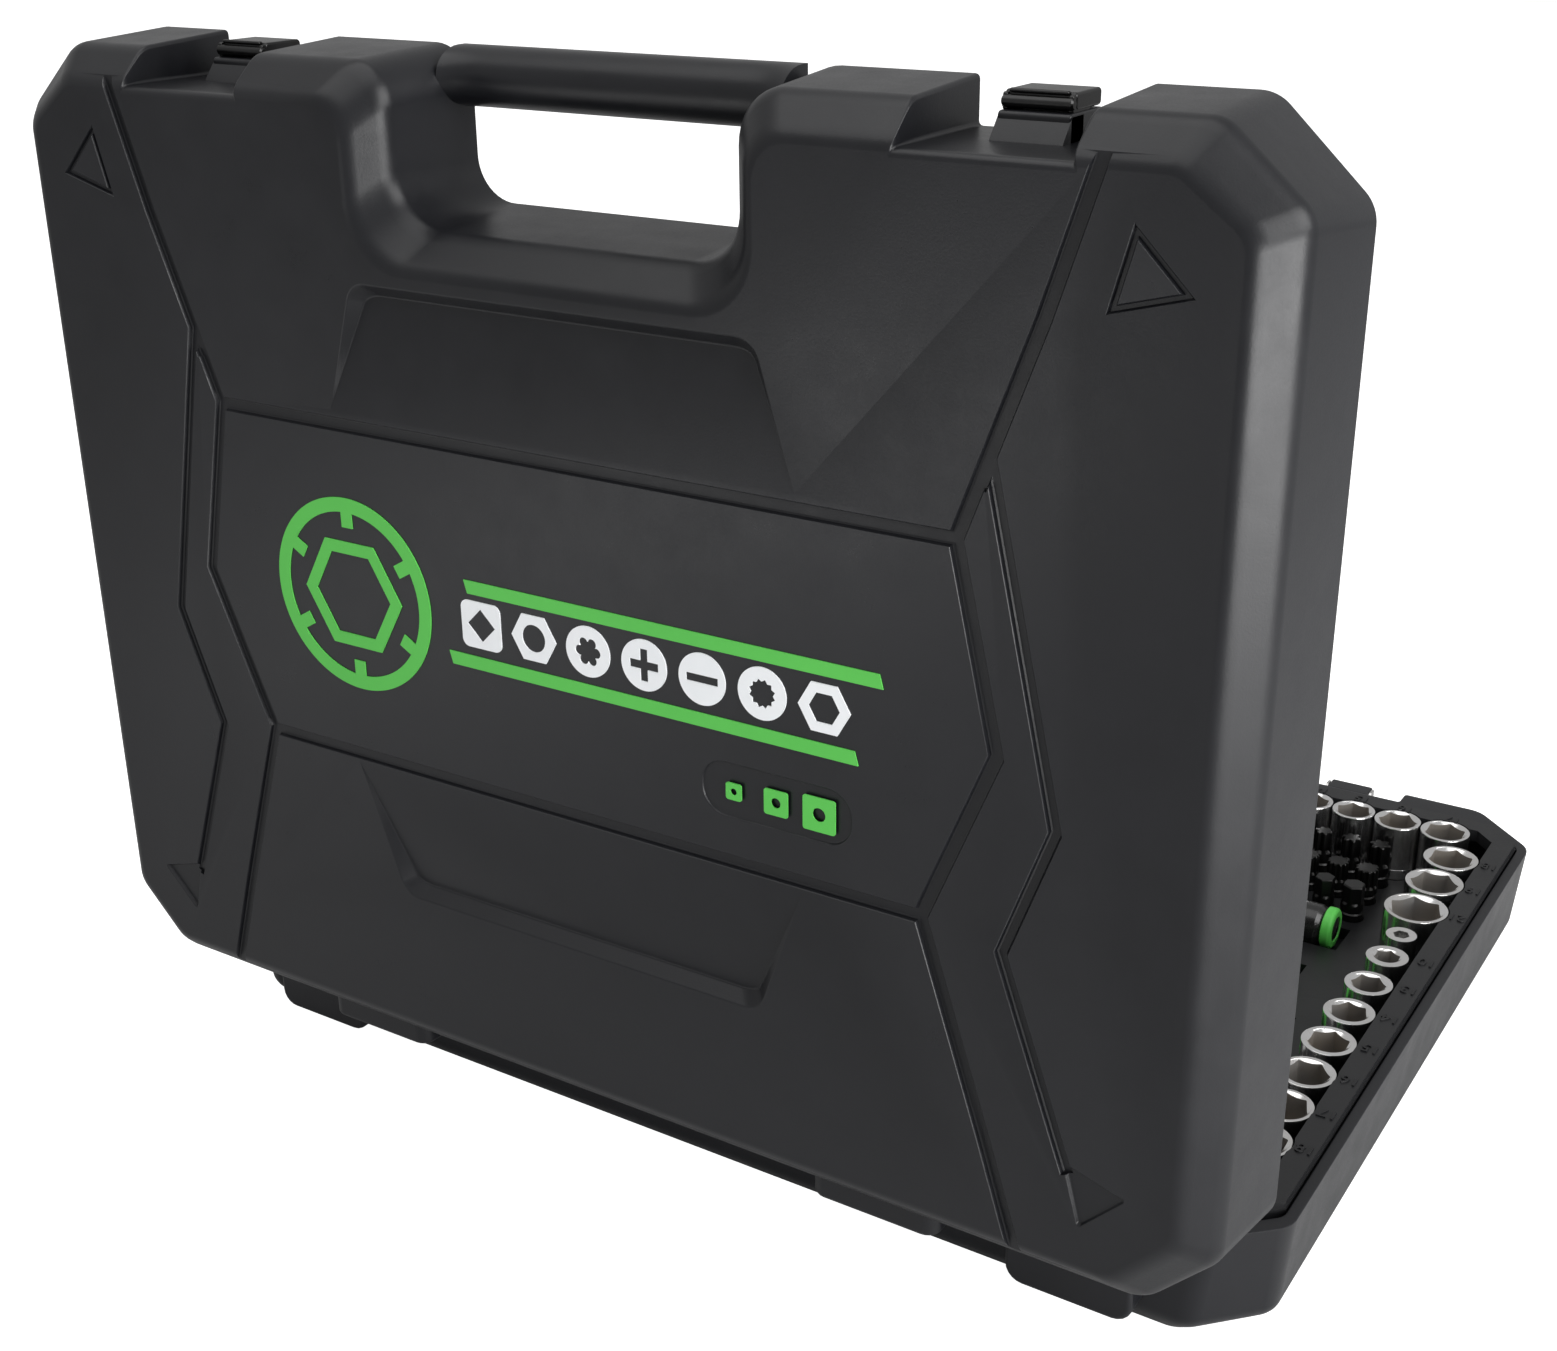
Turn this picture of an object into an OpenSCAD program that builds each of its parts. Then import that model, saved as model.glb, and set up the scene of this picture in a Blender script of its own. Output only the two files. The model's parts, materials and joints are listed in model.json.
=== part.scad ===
// Socket wrench set in a moulded carrying case, standing open.
// The base lies flat on z = 0 with its handle towards -Y and its hinges towards +Y.
// The lid is drawn closed on the base and then turned about the hinge axis.

/* [Case] */
// Width of the case at the parting line
case_w = 515; // [490:1:620]
// Depth of the case from the hinge side to the handle side
case_d = 388; // [380:1:470]
// Height of each half from its face to the parting line
half_h = 55; // [52:1:66]
// Wall thickness of both shells
wall = 3; // [2.4:0.1:4]
// Width and depth of the bevel round each outer face
bevel = 11; // [8:0.5:12]
// Narrowing of each side from the parting line to the bevel
draft = 4; // [2:0.5:5]
// Length cut off each corner on the handle side
front_cut = 30; // [20:1:36]
// Length cut off each corner on the hinge side
rear_cut = 24; // [16:1:30]
// Angle of the lid from closed
lid_open = 90; // [0:1:90]

/* [Handle] */
// Width of the hand hole
hole_w = 136; // [110:1:150]
// Height of the hand hole
hole_h = 33; // [28:1:40]
// Height of the handle bar
bar_h = 21; // [18:0.5:26]

/* [Relief] */
// Depth of the grooves in the lid's face
groove_depth = 1.4; // [0.8:0.1:2]
// Width of the grooves
groove_w = 5; // [3:0.5:8]
// Depth of the sloped fields at their deep edge
field_depth = 5; // [3:0.5:6]
// Height of the raised marks
mark_h = 0.5; // [0.3:0.1:1]

/* [Latches] */
// Distance of each latch from the middle
latch_x = 161.5; // [150:0.5:170]
// Width of a latch plate
latch_w = 22.5; // [18:0.5:26]
// Width of the recess that holds a latch
recess_w = 56; // [50:1:58]
// Depth of the latch recess in the lid
bay_in = 15.5; // [14:0.5:16]
// Depth of the latch recess in the base
base_bay_in = 10.5; // [9:0.5:12]
// Radius of the latch pivot pins
latch_pin_r = 1.2; // [1:0.1:1.5]
// Radius of the wire loops
wire_r = 1; // [0.8:0.1:1.2]

/* [Hinges] */
// Distance from the rear wall to the hinge axis
hinge_out = 4; // [4:0.5:6]
// Radius of the hinge barrels
barrel_r = 3.6; // [3:0.1:3.6]
// Radius of the hinge pins
hinge_pin_r = 1.6; // [1.2:0.1:2]
// How far the hinge lugs stand out from the rear wall
lug_out = 11; // [9:1:14]
// Radial clearance of a turning fit
run_gap = 0.06; // [0.03:0.01:0.1]

/* [Tray] */
// Height of the tray floor
tray_z = 30; // [28:1:32]
// Thickness of the tray's sheet
sheet = 2.5; // [2:0.1:3]
// Height that the rim band stands above the parting line
band_up = 3; // [2:0.5:4]
// Width of the rim band
band_w = 10; // [8:0.5:10]
// Clearance between a tool and its pocket
pocket_gap = 0.5; // [0.3:0.1:0.8]

/* [Sockets] */
// Height of a half-inch socket
socket_h = 38; // [34:1:40]
// Across-flats size of the half-inch drive
drive_half = 12.7; // [12.5:0.1:12.8]
// Across-flats size of the three-eighths drive
drive_mid = 9.53; // [9.4:0.01:9.6]
// Across-flats size of the quarter-inch drive
drive_small = 6.35; // [6.3:0.01:6.4]
// Height of a quarter-inch socket
small_h = 25; // [22:1:28]

/* [Hidden] */
$fn = 48;
eps = 0.01;
half_w = case_w / 2;
half_d = case_d / 2;
axis_y = half_d + hinge_out;
axis_z = half_h;
face_in = draft + bevel;
ledge_in = bar_h + hole_h + draft;
gap = 0.3;
cut_turn = 2 - sqrt(2);
chrome = "silver";
dark_case = [0.17, 0.17, 0.18];
black_plastic = [0.1, 0.1, 0.11];
green = [0.38, 0.76, 0.36];
white = [0.93, 0.95, 0.97];

// Half-inch sockets in the row along the handle side: [size, outside diameter]
front_row = [[17, 23.5], [16, 22.5], [15, 21], [14, 20], [13, 19], [12, 18]];
// Half-inch sockets along the left side as the open case is faced
side_row = [[18, 25.5], [19, 26.5], [21, 28.5]];
// Three-eighths sockets further along the same side
mid_row = [[10, 18.5], [13, 20.5], [14, 21.5], [15, 22.5], [16, 23], [17, 23], [18, 24]];
// Large half-inch sockets along the right side
large_row = [[22, 30], [24, 33], [27, 36.5], [30, 40], [32, 42.5]];
// Quarter-inch sockets on the handle side of the middle
small_row = [[4, 11.7], [5, 11.7], [6, 11.7], [7, 11.7], [8, 11.7],
    [9, 12.8], [10, 13.8], [11, 15], [12, 16], [13, 17.5]];
row_gap = 1.8;
front_gap = 0.4;
mid_pitch = 26.4;
row_x = half_w - face_in - 13.5;
row_y = half_d - 37.5;
side_start_y = -row_y + 27;
adaptor_y = side_start_y + 83;
mid_start_y = adaptor_y + 20.7;

// ---------- shared outlines ----------

// Centres of the eight rounded corners of the case outline, drawn in by a distance
function corners(inset, r) =
    let (x = half_w - inset - r, y = half_d - inset - r,
        f = front_cut - cut_turn * inset - cut_turn * r,
        b = rear_cut - cut_turn * inset - cut_turn * r)
    [[-x, -y + f], [-x + f, -y], [x - f, -y], [x, -y + f],
     [x, y - b], [x - b, y], [-x + b, y], [-x, y - b]];

// Solid with the tapered and bevelled form of one half, face down on z = 0
module half_form(inset, floor_z) {
    hull() {
        for (c = corners(inset + face_in, 4))
            translate([c[0], c[1], floor_z]) cylinder(r = 4, h = eps, $fn = 24);
        for (c = corners(inset + draft, 7))
            translate([c[0], c[1], bevel + floor_z * 0.4]) cylinder(r = 7, h = eps, $fn = 24);
        for (c = corners(inset, 9))
            translate([c[0], c[1], half_h - eps]) cylinder(r = 9, h = eps, $fn = 24);
    }
}

// Flat rectangle with round corners, centred
module soft_rect(w, h, r) {
    square([w - 2 * r, h], center = true);
    square([w, h - 2 * r], center = true);
    for (sx = [-1, 1], sy = [-1, 1])
        translate([sx * (w / 2 - r), sy * (h / 2 - r)]) circle(r = r);
}

// Straight bar drawn between two points
module flat_line(a, b, w) {
    d = b - a;
    translate(a) rotate(atan2(d[1], d[0])) translate([0, -w / 2]) square([norm(d), w]);
}

// Chain of bars with round joints
module flat_path(points, w) {
    for (i = [0 : len(points) - 2]) flat_line(points[i], points[i + 1], w);
    for (p = points) translate(p) rotate(7) circle(d = w * 0.97, $fn = 12);
}

module both_sides() {
    children();
    mirror([1, 0, 0]) children();
}

// ---------- case halves ----------

// The hand recess: a bevelled bay from the handle side, and the hole through it
module hand_recess() {
    ledge_y = -half_d + ledge_in;
    wide = hole_w / 2 + draft;
    hull() {
        for (s = [-1, 1]) {
            translate([s * (wide + bevel - 22), ledge_y + bevel - 22, -1]) cylinder(r = 22, h = 1, $fn = 32);
            translate([s * (wide - 20), ledge_y - 20, bevel]) cylinder(r = 20, h = eps, $fn = 32);
            translate([s * (wide + bevel - 1), -half_d - 30, -1]) cylinder(r = 1, h = 1, $fn = 8);
            translate([s * (wide - 1), -half_d - 30, bevel]) cylinder(r = 1, h = eps, $fn = 8);
        }
    }
    hull() {
        for (s = [-1, 1]) {
            translate([s * (wide - 20), ledge_y - 20, bevel]) cylinder(r = 20, h = eps, $fn = 32);
            translate([s * (hole_w / 2 - 16), ledge_y - draft - 16, half_h])
                cylinder(r = 16, h = 1, $fn = 32);
            translate([s * (wide - 1), -half_d - 30, bevel]) cylinder(r = 1, h = eps, $fn = 8);
            translate([s * (hole_w / 2 - 1), -half_d - 30, half_h]) cylinder(r = 1, h = 1, $fn = 8);
        }
    }
}

// Half of the handle bar, with its flat on the parting line
module handle_bar(z_gap) {
    r = bar_h / 2;
    translate([-hole_w / 2 - 6, -half_d + r, half_h - z_gap])
        rotate([0, 90, 0]) linear_extrude(hole_w + 12) {
            translate([0, -r]) square([2.5, bar_h]);
            intersection() {
                translate([2.5, 0]) circle(r = r);
                translate([0, -r]) square(bar_h);
            }
        }
}

// Open bay between the corner and the handle that holds a latch
module latch_bay(depth_in) {
    both_sides() translate([latch_x - 1 - recess_w / 2, -half_d - 1, -1])
        cube([recess_w, depth_in + 1, half_h + 2]);
}

block_in = 8;

// Block on the bay's floor with a ramp towards the face
module latch_block(near, far, out, width) {
    floor_y = -half_d + bay_in;
    both_sides() translate([latch_x + width / 2, 0, 0]) rotate([0, -90, 0]) linear_extrude(width)
        polygon([[near - 7, floor_y + 1], [near - 7, floor_y], [near, -half_d + out],
            [far, -half_d + out], [far, floor_y + 1]]);
}

// Hollow of a half: the main space, wings beside the handle, and a step for the inner sheet
module hollow(depth, step) {
    intersection() {
        half_form(wall, wall);
        union() {
            translate([0, 0, wall]) linear_extrude(depth - wall) hollow_outline(step);
            translate([0, 0, depth]) linear_extrude(half_h) hollow_outline(0);
        }
    }
}

module hollow_outline(step) {
    inner_x = half_w - 5 - step;
    bar_y = -half_d + ledge_in + wall + bevel + 1;
    difference() {
        translate([-inner_x, -half_d + 8 + step]) square([2 * inner_x, case_d - 13 - 2 * step]);
        translate([-hole_w / 2 - draft - bevel - wall - step, -half_d - 1])
            square([hole_w + 2 * (draft + bevel + wall + step), bar_y + half_d + 1 + step]);
        both_sides() translate([latch_x - 1 - recess_w / 2 - wall - step, -half_d - 1])
            square([recess_w + 2 * (wall + step), bay_in + wall + 1 + step]);
        both_sides() translate([half_w, -half_d]) rotate(45)
            square((front_cut + 2 * step + 8) * sqrt(2), center = true);
        both_sides() translate([half_w, half_d]) rotate(45)
            square((rear_cut + 2 * step + 8) * sqrt(2), center = true);
    }
}

// Hinge lug on the rear wall: a rounded pad, and a barrel round the axis
module hinge_lug(x0, w, bottom) {
    translate([x0, 0, 0]) {
        translate([w / 2, half_d - draft, (bottom + half_h - 8) / 2])
            rotate([-90, 0, 0]) linear_extrude(lug_out + draft) soft_rect(w, half_h - 8 - bottom, 7);
        translate([0, axis_y, axis_z]) rotate([0, 90, 0]) cylinder(r = barrel_r, h = w);
        translate([0, half_d - 3, axis_z - 14]) cube([w, 3 + hinge_out - 0.6, 10.6]);
        translate([0, half_d - 1, axis_z - 8]) cube([w, 1 + hinge_out + 2.4, 6]);
    }
}

lid_lug_x = 94;
lid_lug_w = 56;
base_lug_x = 155;
base_lug_w = 45;
base_step_w = 14;

module hinge_bore() {
    translate([-half_w, axis_y, axis_z]) rotate([0, 90, 0]) cylinder(r = hinge_pin_r + run_gap, h = case_w);
}

keeper_w = 21.5;
keeper_t = 9;

module base_shell() {
    color(dark_case) difference() {
        union() {
            difference() {
                half_form(0, 0);
                hollow(wall + 1, 0);
                hand_recess();
                latch_bay(base_bay_in);
            }
            handle_bar(0);
            both_sides() translate([latch_x - keeper_w / 2, -half_d + 0.5, half_h - keeper_t])
                cube([keeper_w, base_bay_in, keeper_t]);
            both_sides() {
                hinge_lug(base_lug_x, base_lug_w, 6);
                translate([base_lug_x + base_lug_w + base_step_w / 2 - 2, half_d - draft, 27])
                    rotate([-90, 0, 0]) linear_extrude(lug_out + draft - 3) soft_rect(base_step_w + 4, 36, 6);
            }
        }
        hinge_bore();
        loop_bore();
    }
}

// Hole for the wire loop's ends through the tongue and its ears
module loop_bore() {
    both_sides() translate([latch_x - loop_w / 2, loop_y, loop_z]) rotate([0, 90, 0])
        cylinder(r = wire_r + run_gap, h = loop_w);
}

module hinge_pins() {
    color(chrome) both_sides() translate([lid_lug_x + 2, axis_y, axis_z]) rotate([0, 90, 0])
        cylinder(r = hinge_pin_r, h = base_lug_x + base_lug_w - lid_lug_x - 4);
}

// Steel ears on the sides of each tongue, which carry the ends of the wire loop
module latch_keepers() {
    ear = 1.2;
    color(chrome) difference() {
        both_sides() for (s = [-1, 1])
            translate([latch_x + s * (keeper_w / 2 + ear / 2) - ear / 2, 0, 0])
                rotate([90, 0, 90]) linear_extrude(ear)
                    polygon([[-half_d + 3.5, half_h - 8.5], [-half_d + 10, half_h - 8.5],
                        [-half_d + 10, half_h - 2], [-half_d + 8, half_h - 0.4],
                        [-half_d + 3.5, half_h - 0.4]]);
        loop_bore();
    }
}

// ---------- lid ----------

// Turns a closed lid piece to the lid's angle
module on_lid() {
    translate([0, axis_y, axis_z]) rotate([-lid_open, 0, 0]) translate([0, -axis_y, -axis_z]) children();
}

// Places a base-like half upside down on the base
module lid_half() {
    translate([0, 0, 2 * half_h]) mirror([0, 0, 1]) children();
}

// Height on the lid's face measured from the hinge side
function at(u, w) = [u, half_d + hinge_out - w];

inner_line = [at(198, 385), at(156, 263), at(172, 194), at(146.5, 131), at(187, -2)];
outer_line = [at(164, 284), at(167, 288.5), at(193, 173), at(176, 125.5), at(203, 51)];

module face_grooves() {
    translate([0, 0, -1]) linear_extrude(1 + groove_depth) {
        both_sides() {
            flat_path(inner_line, groove_w);
            flat_path(outer_line, groove_w - 0.5);
            polygon([at(201.7, 54.2), at(224.2, 47.7), at(207.8, 30.7)]);
        }
        flat_line(at(-156, 263), at(156, 263), groove_w);
        flat_line(at(-146.5, 131), at(146.5, 131), groove_w);
    }
    translate([0, 0, -1]) linear_extrude(1.7) both_sides()
        flat_path([at(208.3, 359.5), at(224.3, 343.4), at(202.3, 337.6), at(208.3, 359.5)], 1.6);
}

// Sloped field between two rows of the face: deep at one edge, flush at the other
module sloped_field(deep_w, flush_w, deep_half, flush_half) {
    deep_y = axis_y - deep_w;
    flush_y = axis_y - flush_w;
    run = flush_y - deep_y;
    intersection() {
        translate([0, 0, -1]) linear_extrude(field_depth + 2)
            polygon([[-deep_half, deep_y], [deep_half, deep_y],
                [flush_half, flush_y], [-flush_half, flush_y]]);
        translate([-half_w, deep_y, 0]) rotate([90, 0, 90]) linear_extrude(case_w)
            polygon([[0, -1], [0, field_depth], [run * 0.25, field_depth * 0.9], [run, 0], [run, -1]]);
    }
}

// Each sloped field: [deep edge, flush edge, half width at the deep edge, half width at the flush edge]
fields = [[313.5, 268, 82.5, 99], [75.5, 128, 81, 102]];

// Thickening behind a sloped field, so that the wall stays whole
module field_backing(f) {
    past = f[0] > f[1] ? wall : -wall;
    translate([0, 0, wall]) linear_extrude(field_depth)
        polygon([at(-f[2] - wall, f[0] + past), at(f[2] + wall, f[0] + past),
            at(f[3] + wall, f[1]), at(-f[3] - wall, f[1])]);
}

module lid_shell() {
    color(dark_case) on_lid() lid_half() difference() {
        union() {
            difference() {
                half_form(0, 0);
                difference() {
                    hollow(panel_z, 3);
                    for (f = fields) field_backing(f);
                }
                hand_recess();
                latch_bay(bay_in);
            }
            handle_bar(gap);
            latch_block(33, half_h - 1, block_in, latch_w + 1);
            lever_lug();
            both_sides() hinge_lug(lid_lug_x, lid_lug_w, 15);
        }
        hinge_bore();
        face_grooves();
        for (f = fields) sloped_field(f[0], f[1], f[2], f[3]);
        translate([-half_w, -half_d - 1, half_h - gap]) cube([case_w, case_d + 1.1, 1]);
        lever_pin_bore();
    }
}

panel_z = half_h - 24;

module lid_inner_panel() {
    color(black_plastic) on_lid() lid_half() intersection() {
        half_form(wall + 0.5, wall);
        difference() {
            union() {
                translate([0, 0, panel_z]) linear_extrude(sheet) hollow_outline(1.2);
                for (i = [-3 : 3]) translate([i * 60, 30, panel_z + sheet - eps]) linear_extrude(4)
                    soft_rect(10, 180, 4);
                translate([0, 155, panel_z + sheet - eps]) linear_extrude(4) soft_rect(420, 10, 4);
                translate([0, -95, panel_z + sheet - eps]) linear_extrude(4) soft_rect(420, 10, 4);
            }
            for (i = [-2 : 2]) translate([i * 60 + 30, 30, panel_z - 1])
                cylinder(r = 2.2, h = sheet + 2);
        }
    }
}

// ---------- raised marks on the lid's face ----------

mark_x = -96;
mark_at = 197;

module on_face() {
    on_lid() lid_half() translate([0, 0, -mark_h]) linear_extrude(mark_h) children();
}

// Flat outline of a socket's end: a round rim with a six-sided hole
module emblem_ring() {
    color(green) on_face() translate(at(-mark_x, mark_at)) {
        difference() {
            circle(r = 38, $fn = 96);
            circle(r = 32.5, $fn = 96);
        }
        difference() {
            circle(r = 24, $fn = 6);
            circle(r = 18.5, $fn = 6);
        }
        for (i = [0 : 5]) rotate(i * 60 + 30) translate([26.5, -2.6]) square([8, 5.2]);
    }
}

// A long bar with slanted ends
module slanted_bar(x0, x1, w0, h, slant) {
    polygon([at(x0, w0), at(x1, w0), at(x1 - slant, w0 - h), at(x0 - slant, w0 - h)]);
}

module emblem_stripes() {
    color(green) on_face() {
        slanted_bar(41, -130.5, 213.5, 5, 1.4);
        slanted_bar(50, -121.5, 184.5, 5, 1.4);
    }
}

// Row of drive profiles: square, hexagon, six lobes, cross, slot, splines and a nut
module drive_marks() {
    step = 24;
    x0 = 34;
    color(white) on_face() {
        translate(at(x0, mark_at)) difference() {
            soft_rect(18, 18, 3);
            rotate(45) square(9, center = true);
        }
        translate(at(x0 - step, mark_at)) difference() {
            circle(r = 10, $fn = 6);
            circle(r = 5.2);
        }
        translate(at(x0 - 2 * step, mark_at)) difference() {
            circle(r = 9.5);
            for (i = [0 : 5]) rotate(60 * i) translate([3.6, 0]) circle(r = 1.9, $fn = 24);
            circle(r = 3.2, $fn = 24);
        }
        translate(at(x0 - 3 * step, mark_at)) difference() {
            circle(r = 9.5);
            square([12, 3.2], center = true);
            square([3.2, 12], center = true);
        }
        translate(at(x0 - 4 * step, mark_at)) difference() {
            circle(r = 9.5);
            square([13, 3], center = true);
        }
        translate(at(x0 - 5 * step, mark_at)) difference() {
            circle(r = 9.5);
            for (i = [0 : 2]) rotate(30 * i) square(7.6, center = true);
        }
        translate(at(x0 - 6 * step, mark_at)) difference() {
            circle(r = 10, $fn = 6);
            circle(r = 6, $fn = 6);
        }
    }
}

// Three squares that stand for the three drive sizes in the set
module size_plate_marks() {
    color(green) on_face() for (i = [0 : 2]) let (s = [6.35, 9.5, 12.7][i])
        translate(at(-74 - 17 * i, 158)) difference() {
            soft_rect(s, s, 1);
            circle(d = s * 0.4, $fn = 24);
        }
}

// ---------- latches ----------

lever_pin_y = -half_d + 5.6;
lever_pin_z = 34.5;
lever_y = -half_d + 3.6;
lever_t = 1.6;

module lever_pin_bore() {
    both_sides() translate([latch_x - latch_w / 2 - 2, lever_pin_y, lever_pin_z]) rotate([0, 90, 0])
        cylinder(r = latch_pin_r, h = latch_w + 4);
}

module latch_lever_pins() {
    color(chrome) on_lid() lid_half() both_sides()
        translate([latch_x - latch_w / 2 + 0.5, lever_pin_y, lever_pin_z]) rotate([0, 90, 0])
            cylinder(r = latch_pin_r, h = latch_w - 1);
}

// The lid's lug between the lever's knuckles carries the pin
module lever_lug() {
    both_sides() translate([latch_x - 5, 0, 0]) rotate([0, 90, 0]) linear_extrude(10) {
        translate([-lever_pin_z, lever_pin_y]) circle(r = 2.2);
        translate([-lever_pin_z - 2.2, lever_pin_y]) square([4.4, 5]);
    }
}

// Steel plate with rolled knuckles at one end, a finger lip at the other, and two catches for the loop
module latch_lever(side) {
    knuckle_w = 5.6;
    catch_up = 2.4;
    color(black_plastic) on_lid() lid_half() translate([side * latch_x, 0, 0]) difference() {
        union() {
            translate([-latch_w / 2, lever_y, lever_pin_z + 2.6])
                cube([latch_w, lever_t, half_h - lever_pin_z - 3.6]);
            for (s = [-1, 1]) translate([s * (latch_w - knuckle_w) / 2 - knuckle_w / 2, 0, 0]) {
                translate([0, lever_pin_y, lever_pin_z]) rotate([0, 90, 0]) cylinder(r = 2.1, h = knuckle_w);
                translate([0, lever_y, lever_pin_z]) cube([knuckle_w, lever_t, 4]);
                translate([knuckle_w / 2 - 1.5, lever_y - catch_up, catch_z]) cube([3, catch_up + 0.1, 1.5]);
            }
            translate([-latch_w / 2, lever_y - 1.6, half_h - 2.4]) cube([latch_w, 1.7, 1.4]);
        }
        translate([-latch_w / 2 - 1, lever_pin_y, lever_pin_z]) rotate([0, 90, 0])
            cylinder(r = latch_pin_r + run_gap, h = latch_w + 2);
    }
}

loop_y = -half_d + 5.9;
loop_z = half_h - 6;
loop_w = keeper_w + 5;
loop_len = 17.4;
loop_lean = 11.6;
catch_z = 2 * half_h - loop_z - loop_len * cos(loop_lean) + wire_r + 0.1;

// Wire loop hanging from the tongue: two turned-in ends, two legs, and the cross wire
module latch_loop(side) {
    end_in = 4.5;
    color(chrome) translate([side * latch_x, loop_y, loop_z]) {
        translate([-loop_w / 2, 0, -loop_len]) rotate([0, 90, 0]) cylinder(r = wire_r, h = loop_w, $fn = 24);
        for (s = [-1, 1]) translate([s * loop_w / 2, 0, 0]) {
            translate([s > 0 ? -end_in : 0, 0, 0]) rotate([0, 90, 0])
                cylinder(r = wire_r, h = end_in, $fn = 24);
            translate([0, 0, -loop_len]) cylinder(r = wire_r, h = loop_len, $fn = 24);
            for (z = [0, -loop_len]) translate([0, 0, z]) sphere(r = wire_r, $fn = 24);
        }
    }
}

// ---------- sockets ----------

// Socket standing on z = 0 with its hexagon up and its drive square down
module socket(size, od, h, drive) {
    difference() {
        cylinder(d = od, h = h);
        translate([0, 0, h * 0.45]) cylinder(d = size / cos(30), h = h, $fn = 6);
        translate([0, 0, -1]) rotate(45) cylinder(d = drive * sqrt(2), h = h * 0.5, $fn = 4);
        translate([0, 0, h * 0.4]) cylinder(d = min(size, od - 4), h = h * 0.1);
        translate([0, 0, h - 0.8]) cylinder(d1 = size, d2 = size + 2.6, h = 0.9);
    }
}

// Distance along a row to the middle of its socket number i
function along(row, i, g) = i <= 0 ? 0 : along(row, i - 1, g) + (row[i - 1][1] + row[i][1]) / 2 + g;

function front_x(i) = -row_x + 10.2 + along(front_row, i, front_gap);
function side_y(i) = side_start_y + along(side_row, i, row_gap);
function mid_y(i) = mid_start_y + mid_pitch * i;
function large_y(i) = side_start_y + along(large_row, i, row_gap);
function large_px(i) = half_w - face_in - 1 - large_row[i][1] / 2;
small_step = 15.5;
function small_x(i) = -52 + small_step * i + (i > 6 ? (i - 6) * 2 : 0);
small_y = -104;
stand_z = tray_z - 10;
short_z = tray_z - 8;

module sockets_half_front() {
    color(chrome) for (i = [0 : len(front_row) - 1])
        translate([front_x(i), -row_y, stand_z])
            socket(front_row[i][0], front_row[i][1], socket_h, drive_half);
}

module sockets_half_side() {
    color(chrome) for (i = [0 : len(side_row) - 1])
        translate([-row_x, side_y(i), stand_z])
            socket(side_row[i][0], side_row[i][1], socket_h, drive_half);
}

module sockets_half_large() {
    color(chrome) for (i = [0 : len(large_row) - 1])
        translate([large_px(i), large_y(i), stand_z])
            socket(large_row[i][0], large_row[i][1], socket_h, drive_half);
}

module sockets_mid_side() {
    color(chrome) for (i = [0 : len(mid_row) - 1])
        translate([-row_x - 1, mid_y(i), stand_z])
            socket(mid_row[i][0], mid_row[i][1], socket_h - 1.5, drive_mid);
}

module sockets_quarter() {
    color(chrome) for (i = [0 : len(small_row) - 1])
        translate([small_x(i), small_y, short_z])
            socket(small_row[i][0], small_row[i][1], small_h, drive_small);
}

// Upright adaptor: bit holder on a waist with a flange and a quarter-inch foot
module bit_adaptor() {
    color(chrome) translate([-row_x - 1, adaptor_y, stand_z]) difference() {
        union() {
            cylinder(d = 12, h = 14);
            translate([0, 0, 14]) cylinder(d = 16, h = 3);
            translate([0, 0, 17]) cylinder(d = 8, h = 9);
            translate([0, 0, 26]) cylinder(d = 13.4, h = 11);
        }
        translate([0, 0, 28]) cylinder(d = 6.35 / cos(30), h = 12, $fn = 6);
        translate([0, 0, -1]) rotate(45) cylinder(d = drive_small * sqrt(2), h = 9, $fn = 4);
    }
}

// ---------- black bit sockets ----------

bit_cols = 7;
bit_d = 11;
bit_pitch = 14.2;
bit_y = [-row_y + 18.3, -row_y + 38, -row_y + 57.5];
bit_h = [26, 22, 22];
function bit_x(i) = -row_x + 36 + bit_pitch * (bit_cols - 1 - i);

// Bit socket: drive body and a shank with a shaped tip
module bit_body(tip, h) {
    cylinder(d = bit_d, h = h * 0.55);
    translate([0, 0, h * 0.5]) cylinder(d = tip, h = h * 0.3);
}

function tip_d(i) = 4.5 + 0.7 * i;

module star_bit_sockets() {
    color(black_plastic) for (i = [0 : bit_cols - 1]) translate([bit_x(i), bit_y[0], short_z]) {
        bit_body(tip_d(i) + 1, bit_h[0]);
        translate([0, 0, bit_h[0] * 0.7]) linear_extrude(bit_h[0] * 0.3) {
            circle(d = tip_d(i));
            for (k = [0 : 5]) rotate(60 * k) translate([tip_d(i) * 0.45, 0])
                circle(d = tip_d(i) * 0.24, $fn = 16);
        }
    }
}

module spline_bit_sockets() {
    color(black_plastic) for (i = [0 : bit_cols - 1]) translate([bit_x(i), bit_y[1], short_z]) {
        bit_body(tip_d(i) + 0.6, bit_h[1]);
        translate([0, 0, bit_h[1] * 0.7]) linear_extrude(bit_h[1] * 0.3)
            for (k = [0 : 2]) rotate(30 * k) square(tip_d(i) * 0.8, center = true);
    }
}

module hex_bit_sockets() {
    color(black_plastic) for (i = [0 : bit_cols - 1]) translate([bit_x(i), bit_y[2], short_z]) {
        bit_body(tip_d(i) + 0.6, bit_h[2]);
        translate([0, 0, bit_h[2] * 0.7]) cylinder(d = tip_d(i), h = bit_h[2] * 0.3, $fn = 6);
    }
}

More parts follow.
